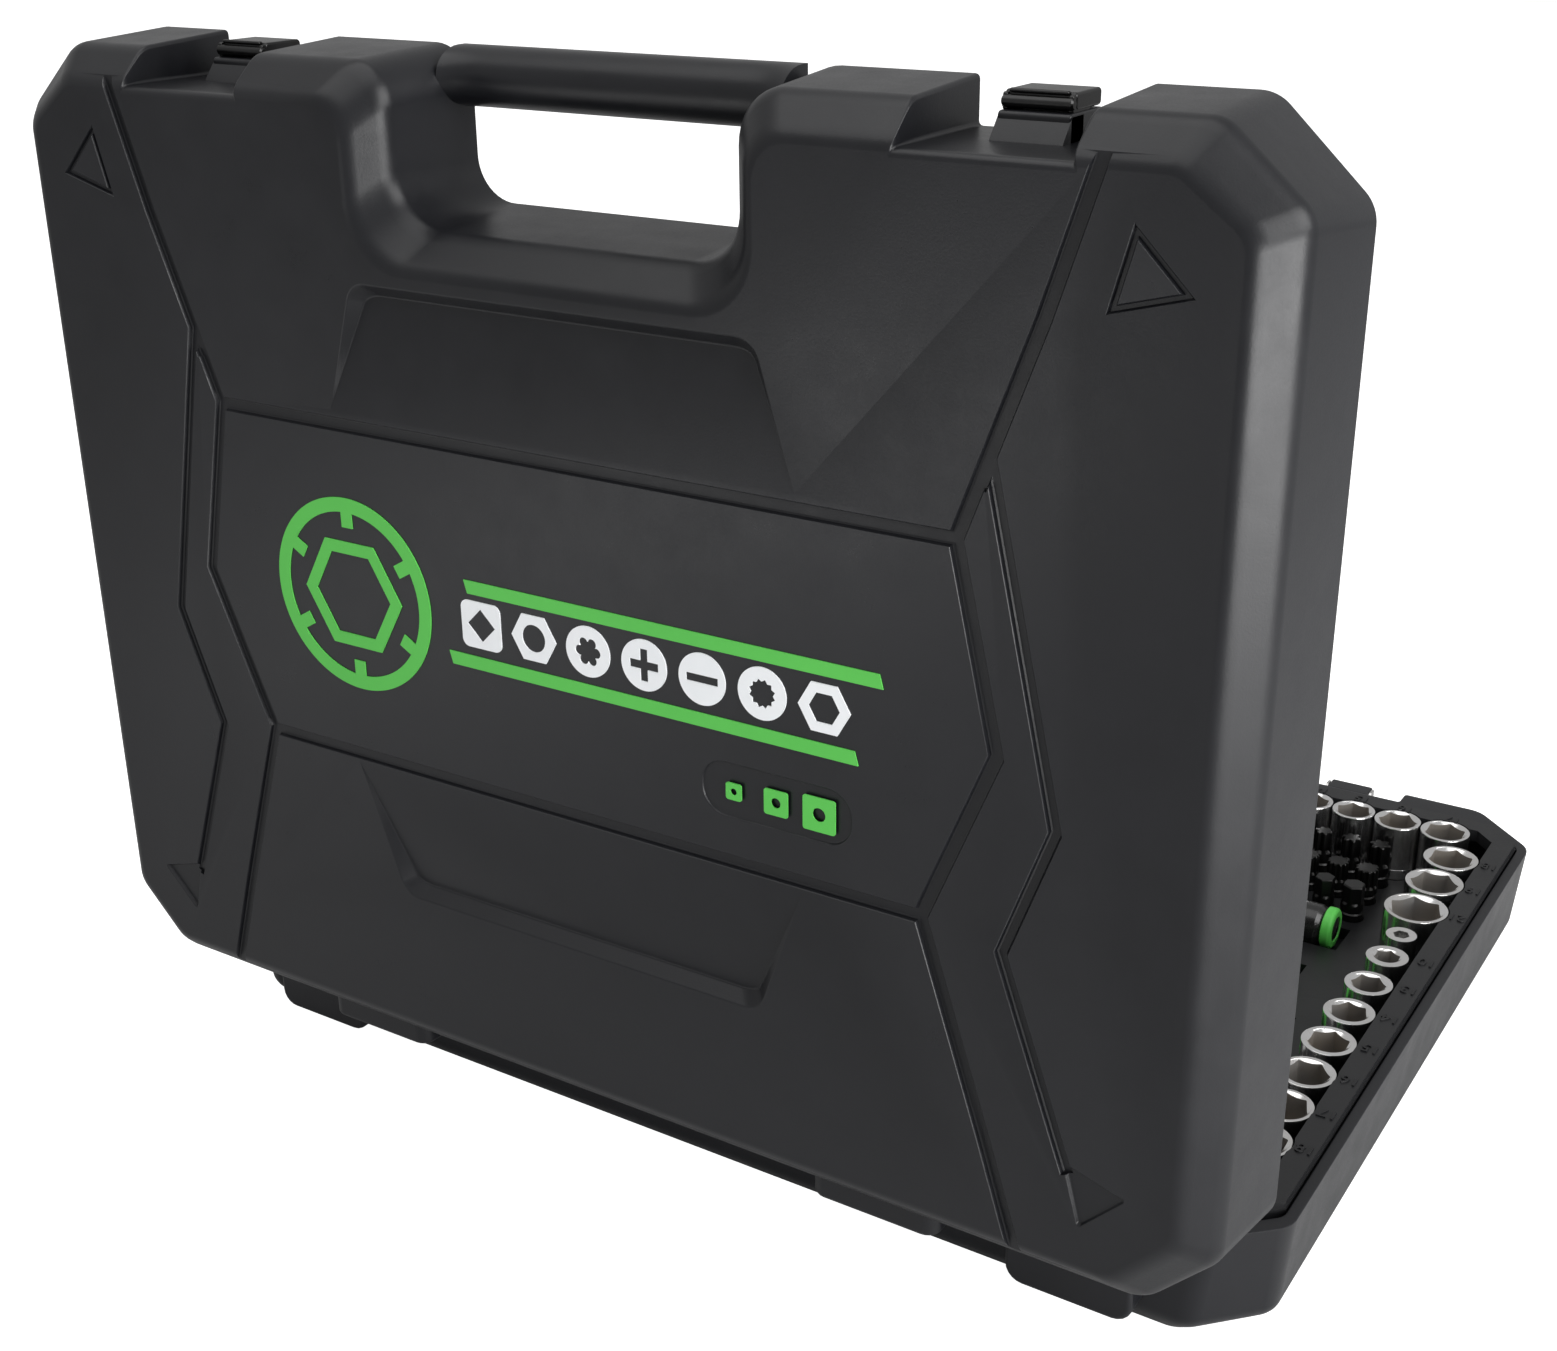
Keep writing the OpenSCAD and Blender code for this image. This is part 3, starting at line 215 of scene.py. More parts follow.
class Finish:                                  # a principled material, with its fixed values on the sockets
    def __init__(self, name, **fixed):
        self.material = bpy.data.materials.new(name)
        self.material.use_nodes = True
        self.tree = self.material.node_tree
        self.shader = next(n for n in self.tree.nodes if n.type == "BSDF_PRINCIPLED")
        for key, value in fixed.items():
            self.shader.inputs[key.replace("_", " ")].default_value = value
        self.place = Wire(self, self.tree.nodes.new("ShaderNodeTexCoord").outputs["Object"])

    def node(self, kind, settings, values, out=0):
        made = self.tree.nodes.new("ShaderNode" + kind)
        for key, value in settings.items():
            setattr(made, key, value)
        for key, value in values.items():
            if isinstance(value, Wire):
                self.tree.links.new(value.socket, made.inputs[key])
            else:
                made.inputs[key].default_value = value
        return Wire(self, made.outputs[out])

    def noise(self, scale, detail=2.0, rough=0.5, stretch=None):
        place = self.place
        if stretch:
            place = self.node("Mapping", {}, {"Vector": place, "Scale": stretch})
        values = {"Vector": place, "Scale": scale, "Detail": detail, "Roughness": rough}
        return self.node("TexNoise", {}, values)

    def span(self, value, low, high, to=(0.0, 1.0)):
        values = {0: value, 1: low, 2: high, 3: to[0], 4: to[1]}
        return self.node("MapRange", {"clamp": True}, values)

    def blend(self, amount, a, b):             # colours mixed by an amount
        made = self.tree.nodes.new("ShaderNodeMix")
        made.data_type = "RGBA"
        for key, value in ((0, amount), (6, a), (7, b)):
            if isinstance(value, Wire):
                self.tree.links.new(value.socket, made.inputs[key])
            else:
                made.inputs[key].default_value = value
        return Wire(self, made.outputs[2])

    def edges(self):                           # near 1 on outer edges, 0 on flat stretches
        return self.span(self.node("NewGeometry", {}, {}, "Pointiness"), 0.505, 0.56)

    def give(self, **wires):
        for key, wire in wires.items():
            self.tree.links.new(wire.socket, self.shader.inputs[key.replace("_", " ")])
        return self

    def relief(self, *layers):                 # (height, strength, distance in mm) one over the other
        normal = None
        for height, strength, distance in layers:
            values = {"Height": height, "Strength": strength, "Distance": distance * mm}
            if normal:
                values["Normal"] = normal
            normal = self.node("Bump", {}, values)
        return self.give(Normal=normal)


def grey(v, warm=0.0):
    return (v * (1 + warm), v, v * (1 - warm), 1.0)


def mouldedPlastic(name, dark, light, roughLow, roughHigh, grain, **fixed):
    f = Finish(name, **fixed)
    cloud, patch, fine = f.noise(9.0, 3.0), f.noise(60.0, 4.0, 0.6), f.noise(grain, 2.0, 0.55)
    scuff = f.span(f.noise(26.0, 5.0, 0.7, (1.0, 5.0, 1.0)), 0.58, 0.75)
    wear = f.edges()
    colour = f.blend(f.span(cloud * 0.7 + patch * 0.3, 0.35, 0.65), dark, light)
    colour = f.blend(wear * 0.3 + scuff * 0.1, colour, tuple(v * 1.2 + 0.012 for v in light[:3]) + (1.0,))
    rough = f.span(patch * 0.6 + fine * 0.4, 0.3, 0.7, (roughLow, roughHigh)) + wear * -0.04
    f.give(Base_Color=colour, Roughness=rough)
    f.relief((patch, 0.06, 0.8), (fine, 0.22, 0.12))
    return f.material


def plated(name, tint, roughLow, roughHigh, stretch=None, dirt=0.25, metal=1.0):
    f = Finish(name, Metallic=metal)
    cloud, fine = f.noise(45.0, 3.0), f.noise(900.0, 3.0, 0.6, stretch)
    spots = f.span(f.noise(420.0, 4.0, 0.65), 0.62, 0.8)
    colour = f.blend(f.span(cloud, 0.35, 0.7), tint, grey(tint[1] * 0.86, 0.02))
    colour = f.blend(spots * dirt, colour, grey(tint[1] * 0.45, 0.06))
    rough = f.span(cloud * 0.5 + fine * 0.5, 0.3, 0.7, (roughLow, roughHigh)) + spots * 0.1
    f.give(Base_Color=colour, Roughness=rough)
    f.relief((fine, 0.05, 0.05), (cloud, 0.03, 0.3))
    return f.material


caseLook = mouldedPlastic("caseLook", (0.0045, 0.0048, 0.0064, 1), (0.0078, 0.0082, 0.0104, 1),
                          0.30, 0.42, 1500.0, Specular_IOR_Level=0.40)
trayLook = mouldedPlastic("trayLook", (0.0042, 0.0044, 0.0052, 1), (0.0066, 0.0068, 0.0078, 1),
                          0.36, 0.50, 1100.0, Specular_IOR_Level=0.4)
gripLook = mouldedPlastic("gripLook", grey(0.006), grey(0.010), 0.24, 0.36, 900.0, Coat_Weight=0.15)
greenLook = mouldedPlastic("greenLook", (0.085, 0.47, 0.070, 1), (0.105, 0.53, 0.085, 1),
                           0.36, 0.5, 900.0, Specular_IOR_Level=0.3)
whiteLook = mouldedPlastic("whiteLook", grey(0.80, -0.03), grey(0.88, -0.02), 0.35, 0.45, 900.0)
chromeLook = plated("chromeLook", grey(0.86), 0.14, 0.26)
steelLook = plated("steelLook", grey(0.62, 0.01), 0.24, 0.42, (1.0, 1.0, 6.0))
blackSteelLook = plated("blackSteelLook", grey(0.035), 0.30, 0.46, None, 0.1)
latchLook = plated("latchLook", grey(0.05, -0.01), 0.26, 0.38, None, 0.2)
boreLook = plated("boreLook", (0.40, 0.36, 0.315, 1), 0.26, 0.42, (1.0, 1.0, 0.15), 0.4, 0.7)
print("materials made")


# ---- case halves

caseForm = {
    "wallSteps": 6,
    # for each level: half width, rear edge, front edge, rear corner (x, y), front corner (x, y),
    # corner radius, bay floor, bay sides, bay corner radius, hand recess half width, its floor,
    # flare and floor radii, depth
    "face": (239.0, 16.0, 375.0, 218.5, 37.5, 218.5, 359.5, 9,
             373.6, 130.7, 190.3, 0.4, 84.6, 319.4, 12, 24, 0.0),
    "turn": (242.2, 13.0, 378.0, 220.0, 36.0, 219.7, 361.0, 10,
             376.5, 132.5, 188.5, 0.4, 81.5, 322.5, 14, 22, 0.0),
    "bevel": (253.2, 1.4, 389.4, 229.0, 26.5, 226.0, 365.3, 12,
              376.5, 132.5, 188.5, 1.5, 71.6, 333.6, 16, 20, 12.3),
    "rim": (257.4, 0.8, 391.9, 234.5, 22.5, 226.0, 362.3, 13,
            376.5, 132.5, 188.5, 1.5, 67.9, 337.8, 16, 16, 55.0),
    "innerRim": (253.0, 5.4, 384.0, 230.5, 27.0, 227.6, 359.4, 8,
                 373.2, 129.2, 191.8, 1.5, 86.0, 319.0, 3, 14, 55.0),
    "innerDeep": (250.0, 9.0, 382.0, 229.0, 31.0, 225.0, 357.0, 8,
                  371.0, 127.0, 194.0, 1.5, 89.0, 316.0, 3, 14, 28.0),
    # the lower half's rim is a broad land at the front, up to the tray
    "landRim": (252.6, 5.4, 373.2, 230.5, 27.0, 238.0, 359.0, 6,
                373.2, 129.2, 191.8, 1.5, 86.0, 319.0, 3, 14, 55.0),
    "landDeep": (242.0, 18.0, 366.0, 222.0, 38.0, 226.0, 350.0, 6,
                 366.0, 124.0, 197.0, 1.5, 95.0, 310.0, 3, 14, 7.0),
}
lidBayFloor, baseBayFloor = 376.5, 381.5


def caseOutline(level, bayFloor):
    half, rear, front, rx, ry, fx, fy, r, floor, near, far, bayR, hand, handFloor, flare, handR = caseForm[level][:-1]
    if level in ("turn", "bevel", "rim"):
        floor = bayFloor
    elif level == "face":
        floor += bayFloor - lidBayFloor
    floor = min(floor, front - 2.2 * bayR)
    right = [(rx, rear, r), (half, ry, r), (half, fy, r), (fx, front, r), (far, front, bayR),
             (far, floor, bayR), (near, floor, bayR), (near, front, bayR), (hand, front, flare),
             (hand, handFloor, handR)]
    left = [(-x, y, q) for x, y, q in reversed(right)]
    steps = [8, 8, 8, 8, 3, 3, 3, 3, 10, 12]
    return filletPath(right + left, steps + steps[::-1])


def caseRings(depthAtRim, bayFloor, innerKey):
    levels = ("face", "turn", "bevel", "rim", innerKey + "Rim", innerKey + "Deep")
    scale = np.array([1, 1, depthAtRim / caseForm["rim"][-1]])
    outlines = [lift(caseOutline(k, bayFloor), caseForm[k][-1]) * scale for k in levels]
    face, turn, bevel, rim, inner, deep = outlines
    n = caseForm["wallSteps"]
    first = curveThrough(face, turn, turn + (bevel - turn) * 0.28, n)
    second = curveThrough(turn + (bevel - turn) * 0.74, bevel, bevel + (rim - bevel) * 0.09, n)
    lip = rim + (inner - rim) * 0.16
    third = curveThrough(bevel + (rim - bevel) * 0.985, rim, lip, 4)
    fourth = curveThrough(inner + (rim - inner) * 0.12, inner, inner + (deep - inner) * 0.03, 4)
    return np.concatenate([first, second, third, fourth, deep[None]])


def ribbon(path, levels, closed=False):
    # a channel along a line of points: at each depth the line is widened to both sides
    # by that level's half width, with mitred turns
    p = np.array(path, float)
    if closed:
        ahead, back = np.roll(p, -1, 0) - p, p - np.roll(p, 1, 0)
    else:
        seg = np.diff(p, axis=0)
        ahead, back = np.vstack([seg, seg[-1:]]), np.vstack([seg[:1], seg])
    a, b = (np.column_stack([-v[:, 1], v[:, 0]]) / np.linalg.norm(v, axis=1, keepdims=True)
            for v in (ahead, back))
    side = (a + b) / (1 + (a * b).sum(1))[:, None]
    rings = []
    for deep, wide in levels:
        left, right = p + side * wide, p - side * wide
        rings.append((lift(left, deep), lift(right, deep)))
    if not closed:
        return stackRings([np.vstack([l, r[::-1]]) for l, r in rings])
    loops = [l for l, _ in rings] + [r for _, r in rings[::-1]]
    return stackRings(loops + [loops[0]], False, False)


# (depth, half width) pairs of the long channels, the outer channels and the fine outlines
channel = [(-0.6, 3.1), (0.0, 2.8), (0.35, 2.5), (1.7, 2.2), (2.1, 1.6)]
narrow = [(-0.6, 2.7), (0.0, 2.4), (0.35, 2.1), (1.7, 1.8), (2.1, 1.3)]
thin = [(-0.6, 1.5), (0.0, 1.25), (0.3, 0.95), (1.4, 0.6)]


def slopedField(deepAt, flushAt, deepHalf, flushHalf, deep):
    # a four-sided field whose floor falls from the flush edge to the deep edge along a straight slope
    way = 1 if deepAt > flushAt else -1
    past = flushAt - way * 4
    pastHalf = flushHalf + (flushHalf - deepHalf) * 4 / abs(deepAt - flushAt)
    corners = [(-deepHalf, deepAt, 9), (deepHalf, deepAt, 9), (pastHalf, past, 3), (-pastHalf, past, 3)]
    flat = filletPath(corners, [8, 8, 2, 2])
    fall = (flat[:, 1] - flushAt) / (deepAt - flushAt) * deep
    down = np.maximum(fall, 0)
    # the walls lean in by about as much as they fall, the one at the deep edge towards the flush edge
    lean = np.column_stack([-np.sign(flat[:, 0]) * down, -way * down * (down / deep) ** 6])
    middle = flat.mean(0)
    levels = [(0, np.minimum(fall, 0)), (0.18, fall - down * 0.93), (0.85, fall - down * 0.10), (1.05, fall)]
    above = lift(middle + (flat - middle) * 1.012, -0.8)
    return stackRings([above] + [lift(flat + lean * k, deep) for k, deep in levels])


faceForm = {
    "inner": [(199.5, 386), (182, 332.5), (156, 263), (172, 194), (146.5, 131), (172.2, 52.5), (185.5, 10)],
    "outer": [(163.5, 280), (167, 288), (193, 173), (176, 125.5), (203, 50)],
    "peak": [(208.3, 359.5), (224.3, 343.4), (202.3, 337.6)],
    "across": [[(-155, 262.7), (155, 262.7)], [(-146, 130.6), (146, 130.6)]],
    "arrow": [(201.7, 54.2, 1), (224.2, 47.7, 1), (207.8, 30.7, 1)],
    "arrowLevels": [(-0.6, 1.1), (0, 1.05), (0.3, 1.0), (1.0, 0.96), (1.4, 0.88)],
    "fields": [(316.0, 268, 84.5, 99, 5.2), (72.8, 127, 83, 101.5, 5.2)],
    "pill": [(61, 148, -1, -1), (120, 148, 1, -1), (120, 168, 1, 1), (61, 168, -1, 1)],
    "pillRadius": 9,
    "pillLevels": [(-0.6, 1.0), (0, 0.6), (0.25, 0.2), (0.7, 0.0), (0.9, -0.5)],
}


def faceCuts():
    f = faceForm
    arrow = filletPath(f["arrow"], [3, 3, 3])
    middle = arrow.mean(0)
    head = stackRings([lift(middle + (arrow - middle) * k, deep) for deep, k in f["arrowLevels"]])
    shapes = [slopedField(*field) for field in f["fields"]]
    for way in (1, -1):
        paths = [[(x * way, y) for x, y in f[key]] for key in ("inner", "outer", "peak")]
        shapes += [ribbon(paths[0], channel), ribbon(paths[1], narrow), ribbon(paths[2], thin, True)]
        shapes.append((head[0] * [way, 1, 1], head[1]))
    shapes += [ribbon(line, channel) for line in f["across"]]
    levels = []
    for deep, k in f["pillLevels"]:
        corners = [(x + a * k, y + b * k, f["pillRadius"] + k) for x, y, a, b in f["pill"]]
        levels.append(lift(filletPath(corners, [8] * 4), deep))
    return shapes + [stackRings(levels)]


barForm = {"along": 381.5, "deep": 52.0, "flat": 54.9, "radius": 10.4, "reach": 71, "plain": 56, "swell": 0.30}


def handleBar(gap):
    # half of the round bar: a D section swept across, deeper where it runs into the sides of the recess
    b = barForm
    across = np.linspace(-b["reach"], b["reach"], 41)
    swell = 1 + b["swell"] * np.clip((np.abs(across) - b["plain"]) / 16, 0, 1) ** 2.2
    q = np.linspace(0, math.pi, 17)
    hub = np.array([b["along"], b["flat"] - gap])
    bow = np.column_stack([b["along"] + b["radius"] * np.cos(q), b["deep"] - gap - b["radius"] * np.sin(q)])
    section = np.vstack([hub + [b["radius"], 0], bow, hub - [b["radius"], 0]])
    return stackRings([np.column_stack([np.full(len(section), a), hub + (section - hub) * [1, s]])
                       for a, s in zip(across, swell)])


def hingeLug(low, high, top, foot, out, corner):         # a flat pad behind the rear wall
    return softBlock((low, high), (-out, 6), (foot, top), 2.2, corner, axis=1)


def rod(low, high, radius, inset, centre, around):       # a round bar across with its ends eased
    q = np.linspace(0, 2 * math.pi, around + 1)[:-1]
    ends = ((low, radius - inset), (low + 0.5, radius), (high - 0.5, radius), (high, radius - inset))
    y, z = centre
    return stackRings([np.column_stack([np.full(around, a), y + r * np.cos(q), z + r * np.sin(q)]) for a, r in ends])


def barrel(low, high):
    return rod(low, high, 3.6, 0.5, (0, halfHeight), 32)


def mirrorX(shape):
    return shape[0] * [-1, 1, 1], [f[::-1] for f in shape[1]]


def both(shape):
    return [shape, mirrorX(shape)]


gap = 0.3                                      # between the two halves when the case is shut
lidForm = {
    "latchBlock": ((150, 173.5), (374, 384.6), (31, 54.2), 0.8, 1.5, 0),
    "ramp": [(374.5, 25.8), (377, 26.6), (384.2, 32.6), (384.2, 40), (374.5, 40)],
    "rampWide": (150, 173.5),
    "lug": (94, 147, 46, 15, 10.2, 6),
    "leaf": ((94.3, 149.7), (-1.5, 6), (42, 51), 1.2, 1.8, 0),
    "barrel": (94, 150),
}
shell = stackRings(caseRings(halfHeight - gap, lidBayFloor, "inner"))
lid = cut(makeObject("lidShell", *shell), faceCuts())
shape = vertexPlaces(lid.data), [list(p.vertices) for p in lid.data.polygons]
bpy.data.objects.remove(lid)
ramp = stackRings([[(a, y, z) for y, z in lidForm["ramp"]] for a in lidForm["rampWide"]])
points, faces = join(shape, handleBar(gap), *both(softBlock(*lidForm["latchBlock"])), *both(ramp),
                     *both(hingeLug(*lidForm["lug"])), *both(softBlock(*lidForm["leaf"])),
                     *both(barrel(*lidForm["barrel"])))
lid = makeObject("lidShell", onLid(points), faces)
finishPiece(lid, caseLook, "lid", ("lid_shell",), sharp=38)
print("lid shell made,", len(lid.data.polygons), "faces")

baseForm = {
    "tongue": ((151, 172), (380, 391.4), (46.2, 54.9), 0.9, 1.6, 0),
    "lug": (160.4, 211.5, 46.5, 13.2, 9.8, 7.5),
    "leaf": ((160.3, 199.7), (-1.5, 6), (42, 51), 1.2, 1.8, 0),
    "barrel": (155, 200),
}
shell = stackRings(caseRings(halfHeight, baseBayFloor, "land"))
points, faces = join(shell, handleBar(0.0), *both(softBlock(*baseForm["tongue"])),
                     *both(hingeLug(*baseForm["lug"])), *both(softBlock(*baseForm["leaf"])),
                     *both(barrel(*baseForm["barrel"])))
base = makeObject("baseShell", onBase(points), faces)
finishPiece(base, caseLook, "base", ("base_shell",), sharp=38)
print("base shell made,", len(base.data.polygons), "faces")


# ---- sockets that stand in the tray: a round wall outside and a rounded hexagon inside

def looseParts(node):                          # boxes in mm of a node's separate solids, from their shared corners
    mesh = frame["nodes"][node].data
    place = vertexPlaces(mesh) / mm
    keys, same = np.unique(np.round(place, 3), axis=0, return_inverse=True)
    label = np.arange(len(keys))
    ends = np.empty(len(mesh.edges) * 2, int)
    mesh.edges.foreach_get("vertices", ends)
    ends = same.reshape(-1)[ends.reshape(-1, 2)]
    while True:                                # every edge passes the lower label on until nothing changes
        low = label[ends].min(1)
        fresh = label.copy()
        np.minimum.at(fresh, ends[:, 0], low)
        np.minimum.at(fresh, ends[:, 1], low)
        if (fresh == label).all():
            break
        label = fresh
    boxes = ((keys[label == k].min(0), keys[label == k].max(0)) for k in np.unique(label))
    return sorted(boxes, key=lambda b: (round(b[0][0]), round(b[0][1])))


socketForm = {"around": 96, "land": 0.75, "edge": 0.55, "hexDepth": 0.56, "step": 0.62, "leadIn": 0.62,
              "turn": 0.35}


def roundedHexagon(angle, acrossFlats):
    # distance to a flat side is half the width over the cosine of the angle from that side's middle,
    # and the corners are eased a little
    local = (angle + math.pi / 6) % (math.pi / 3) - math.pi / 6
    plain = acrossFlats / 2 / np.cos(local)
    return np.minimum(plain, acrossFlats / 2 * 1.135)


def ringsAbout(middle, angle, rows):
    # a closed ring for each radius and height; a radius may change with the angle
    return [np.column_stack([r * np.cos(angle) + middle[0], r * np.sin(angle) + middle[1], h + 0 * angle])
            for r, h in rows]


def socketShape(low, high, acrossFlats, drive, turn):
    # radius for each height and angle: up the outer wall, over the bright rim, down the lead-in
    # and the hexagon, then the square from below
    f = socketForm
    n = f["around"]
    angle = np.linspace(0, 2 * math.pi, n + 1)[:-1]
    radius = (high[0] - low[0]) / 2
    bottom, top = low[2], high[2]
    tall = top - bottom
    edge, waist = f["edge"], radius - 0.12     # a shallow groove runs round the middle
    hexagon = roundedHexagon(angle + turn, acrossFlats)
    square = np.minimum(drive / 2 / np.cos((angle + turn) % (math.pi / 2) - math.pi / 4), drive / 2 * 1.30)
    mouth = min(radius - f["land"] - edge * 0.6, acrossFlats / 2 * 1.19)
    meet = top - 0.15 - (mouth - np.minimum(hexagon, mouth)) * f["leadIn"]
    hexFloor, squareTop = top - tall * f["hexDepth"], top - tall * f["step"]
    outside = [(radius - 0.9, bottom), (radius - 0.3, bottom + 0.25), (radius, bottom + 0.9),
               (radius, bottom + tall * 0.40), (waist, bottom + tall * 0.405), (waist, bottom + tall * 0.435),
               (radius, bottom + tall * 0.44), (radius, top - edge * 1.3),
               (radius - edge * 0.3, top - edge * 0.35), (radius - edge, top), (mouth + 0.12, top),
               (mouth, top - 0.15)]
    inside = [(np.minimum(hexagon, mouth), meet), (hexagon * 0.998, meet - 0.4), (hexagon * 0.99, hexFloor),
              (hexagon * 0.86, hexFloor - 0.8), (square * 1.04, squareTop), (square, squareTop - 0.5),
              (square, bottom + 1.2), (square * 1.06, bottom + 0.1), (square * 1.1, bottom)]
    rings = ringsAbout((low + high) / 2, angle, outside + inside)
    points, faces = stackRings(rings + rings[:1], False, False)
    points = points[:-n]
    total = len(points)
    faces = [[k % total for k in face] for face in faces]
    return points, faces, (len(outside) * n, (len(outside) + 4) * n)


socketRows = {
    "sockets_half_front": ([17, 16, 15, 14, 13, 12], 12.7),
    "sockets_half_side": ([18, 19, 21], 12.7),
    "sockets_half_large": ([22, 24, 27, 30, 32], 12.7),
    "sockets_mid_side": ([10, 13, 14, 15, 16, 17, 18], 9.53),
    "sockets_quarter": ([4, 5, 6, 7, 8, 9, 10, 11, 12, 13], 6.35),
}
for node, (sizes, drive) in socketRows.items():
    shapes, bores, start = [], [], 0
    ways = 0 if node in ("sockets_half_front", "sockets_quarter") else 1
    boxes = sorted(looseParts(node), key=lambda b: b[0][ways] + b[1][ways])
    for i, ((low, high), size) in enumerate(zip(boxes, sizes)):
        p, f, (a, b) = socketShape(low, high, size, drive, socketForm["turn"] * i)
        b += socketForm["around"]
        bores += [start + k for k, face in enumerate(f) if a <= min(face) and max(face) < b]
        start += len(f)
        shapes.append((p, f))
    points, faces = join(*shapes)
    piece = makeObject(node + "_turned", points * mm, faces)
    finishPiece(piece, chromeLook, "base", (node,), sharp=28)
    piece.data.materials.append(boreLook)
    inside = np.zeros(len(faces), int)
    inside[bores] = 1
    piece.data.polygons.foreach_set("material_index", inside)
print("sockets made")


# ---- black bit sockets: a knurled drive body, a neck and a shaped tip

bitForm = {
    "around": 96,
    "tall": 4.0,
    "tip": 2.15,
    "tipStep": 0.396,
    # teeth, how far they swing in and out as a share, and what the tip adds in radius
    "teeth": {"star_bit_sockets": (6, 0.16, 0.3), "spline_bit_sockets": (12, 0.085, 0.8),
              "hex_bit_sockets": (0, 0.0, 0.3)},
}


def bitShape(low, high, teeth, swing, tip):
    # radius for each height and angle; the tip swings in and out with its teeth, or follows a hexagon
    angle = np.linspace(0, 2 * math.pi, bitForm["around"] + 1)[:-1]
    radius, bottom, top = min((high - low)[:2]) / 2, low[2], high[2] + bitForm["tall"]
    tall = top - bottom
    wave = roundedHexagon(angle, tip * 1.8)
    if teeth:
        wave = tip * (1 - swing + swing * np.tanh(2.2 * np.cos(angle * teeth)) / np.tanh(2.2))
    knurl = radius * (1 + 0.012 * np.sign(np.sin(angle * 24)))
    rows = [(radius - 0.7, bottom), (radius, bottom + 0.7), (radius, bottom + tall * 0.18),
            (knurl, bottom + tall * 0.19), (knurl, bottom + tall * 0.36), (radius, bottom + tall * 0.37),
            (radius, bottom + tall * 0.43), (radius - 0.6, bottom + tall * 0.455),
            (tip + 0.5, bottom + tall * 0.53), (tip + 0.3, bottom + tall * 0.62), (wave, bottom + tall * 0.66), (wave, top - 0.7),
            (wave * 0.93, top - 0.15), (wave * 0.86, top)]
    return stackRings(ringsAbout((low + high) / 2, angle, rows))


for node, (teeth, swing, extra) in bitForm["teeth"].items():
    boxes = sorted(looseParts(node), key=lambda b: -b[0][0])
    shapes = []
    for i, (low, high) in enumerate(boxes):
        tip = bitForm["tip"] + bitForm["tipStep"] * (i + 0.8) + extra
        shapes.append(bitShape(low, high, teeth, swing, tip))
    points, faces = join(*shapes)
    piece = makeObject(node + "_shaped", points * mm, faces)
    finishPiece(piece, blackSteelLook, "base", (node,))
print("bits made")


# ---- sizes on the tray's rim

numeralForm = {
    "size": 8.0,
    "raise": 0.5,
    "edge": 0.08,
    "rim": 58.0,
    # each row's way (0 across, 1 along) and its fixed place on the other axis
    "rows": {"sockets_half_side": (1, -247.2), "sockets_mid_side": (1, -247.2),
             "sockets_half_large": (1, 246.6), "sockets_half_front": (0, -169.9)},
}


def numeralMesh(words, x, y):
    f = numeralForm
    curve = bpy.data.curves.new("numeral", "FONT")
    curve.body, curve.size, curve.align_x, curve.align_y = words, f["size"] * mm, "CENTER", "CENTER"
    curve.extrude, curve.bevel_depth, curve.resolution_u = f["raise"] * mm, f["edge"] * mm, 4
    text = bpy.data.objects.new("numeral", curve)
    bpy.context.scene.collection.objects.link(text)
    bpy.context.view_layer.update()
    mesh = bpy.data.meshes.new_from_object(text.evaluated_get(bpy.context.evaluated_depsgraph_get()))
    mesh.transform(Matrix.Translation((x * mm, y * mm, f["rim"] * mm)))
    bpy.data.objects.remove(text)
    bpy.data.curves.remove(curve)
    return mesh


def numerals():
    work = bmesh.new()
    for node, (way, fixed) in numeralForm["rows"].items():
        boxes = sorted(looseParts(node), key=lambda b: b[0][way] + b[1][way])
        for (low, high), size in zip(boxes, socketRows[node][0]):
            place = [fixed, fixed]
            place[way] = (low[way] + high[way]) / 2
            mesh = numeralMesh(str(size), *place)
            work.from_mesh(mesh)
            bpy.data.meshes.remove(mesh)
    whole = bpy.data.meshes.new("sizeNumerals")
    work.to_mesh(whole)
    work.free()
    piece = bpy.data.objects.new("sizeNumerals", whole)
    bpy.context.scene.collection.objects.link(piece)
    return piece


finishPiece(numerals(), trayLook, "base")
print("numerals made")


# ---- ratchet grips' end collars: a rounded green band with a dark domed button in its end

def collarShape(low, high):
    # radius over the way along the grip: the collar swells, rounds over and dips to the button,
    # which stands a little proud
    y, z = (low[1] + high[1]) / 2, (low[2] + high[2]) / 2
    r, ends, length = (high[2] - low[2]) / 2, low[0], high[0] - low[0]
    q = np.linspace(0, math.pi / 2, 9)
    over = np.column_stack([ends + 0.9 + 1.9 * (1 - np.sin(q[::-1])), r - 1.9 + 1.9 * np.cos(q[::-1])])
    far = [[ends + length, r * 0.35], [ends + length, r - 0.8], [ends + length - 0.5, r - 0.1]]
    dip = [[ends + 0.9, r * 0.62], [ends + 1.7, r * 0.60], [ends + 1.7, r * 0.3]]
    band = np.vstack([far, over[::-1], dip])
    dome = np.column_stack([ends + 1.75 - 1.2 * np.sin(q), r * 0.585 * np.cos(q)])
    dome = np.vstack([[[ends + 2.6, r * 0.3], [ends + 2.6, r * 0.585]], dome[:-1], [[dome[-1][0], 0.25]]])
    turn = np.linspace(0, 2 * math.pi, 65)[:-1]
    return [stackRings([np.column_stack([np.full(64, a), y + s * np.cos(turn), z + s * np.sin(turn)])
                        for a, s in line]) for line in (band, dome)]


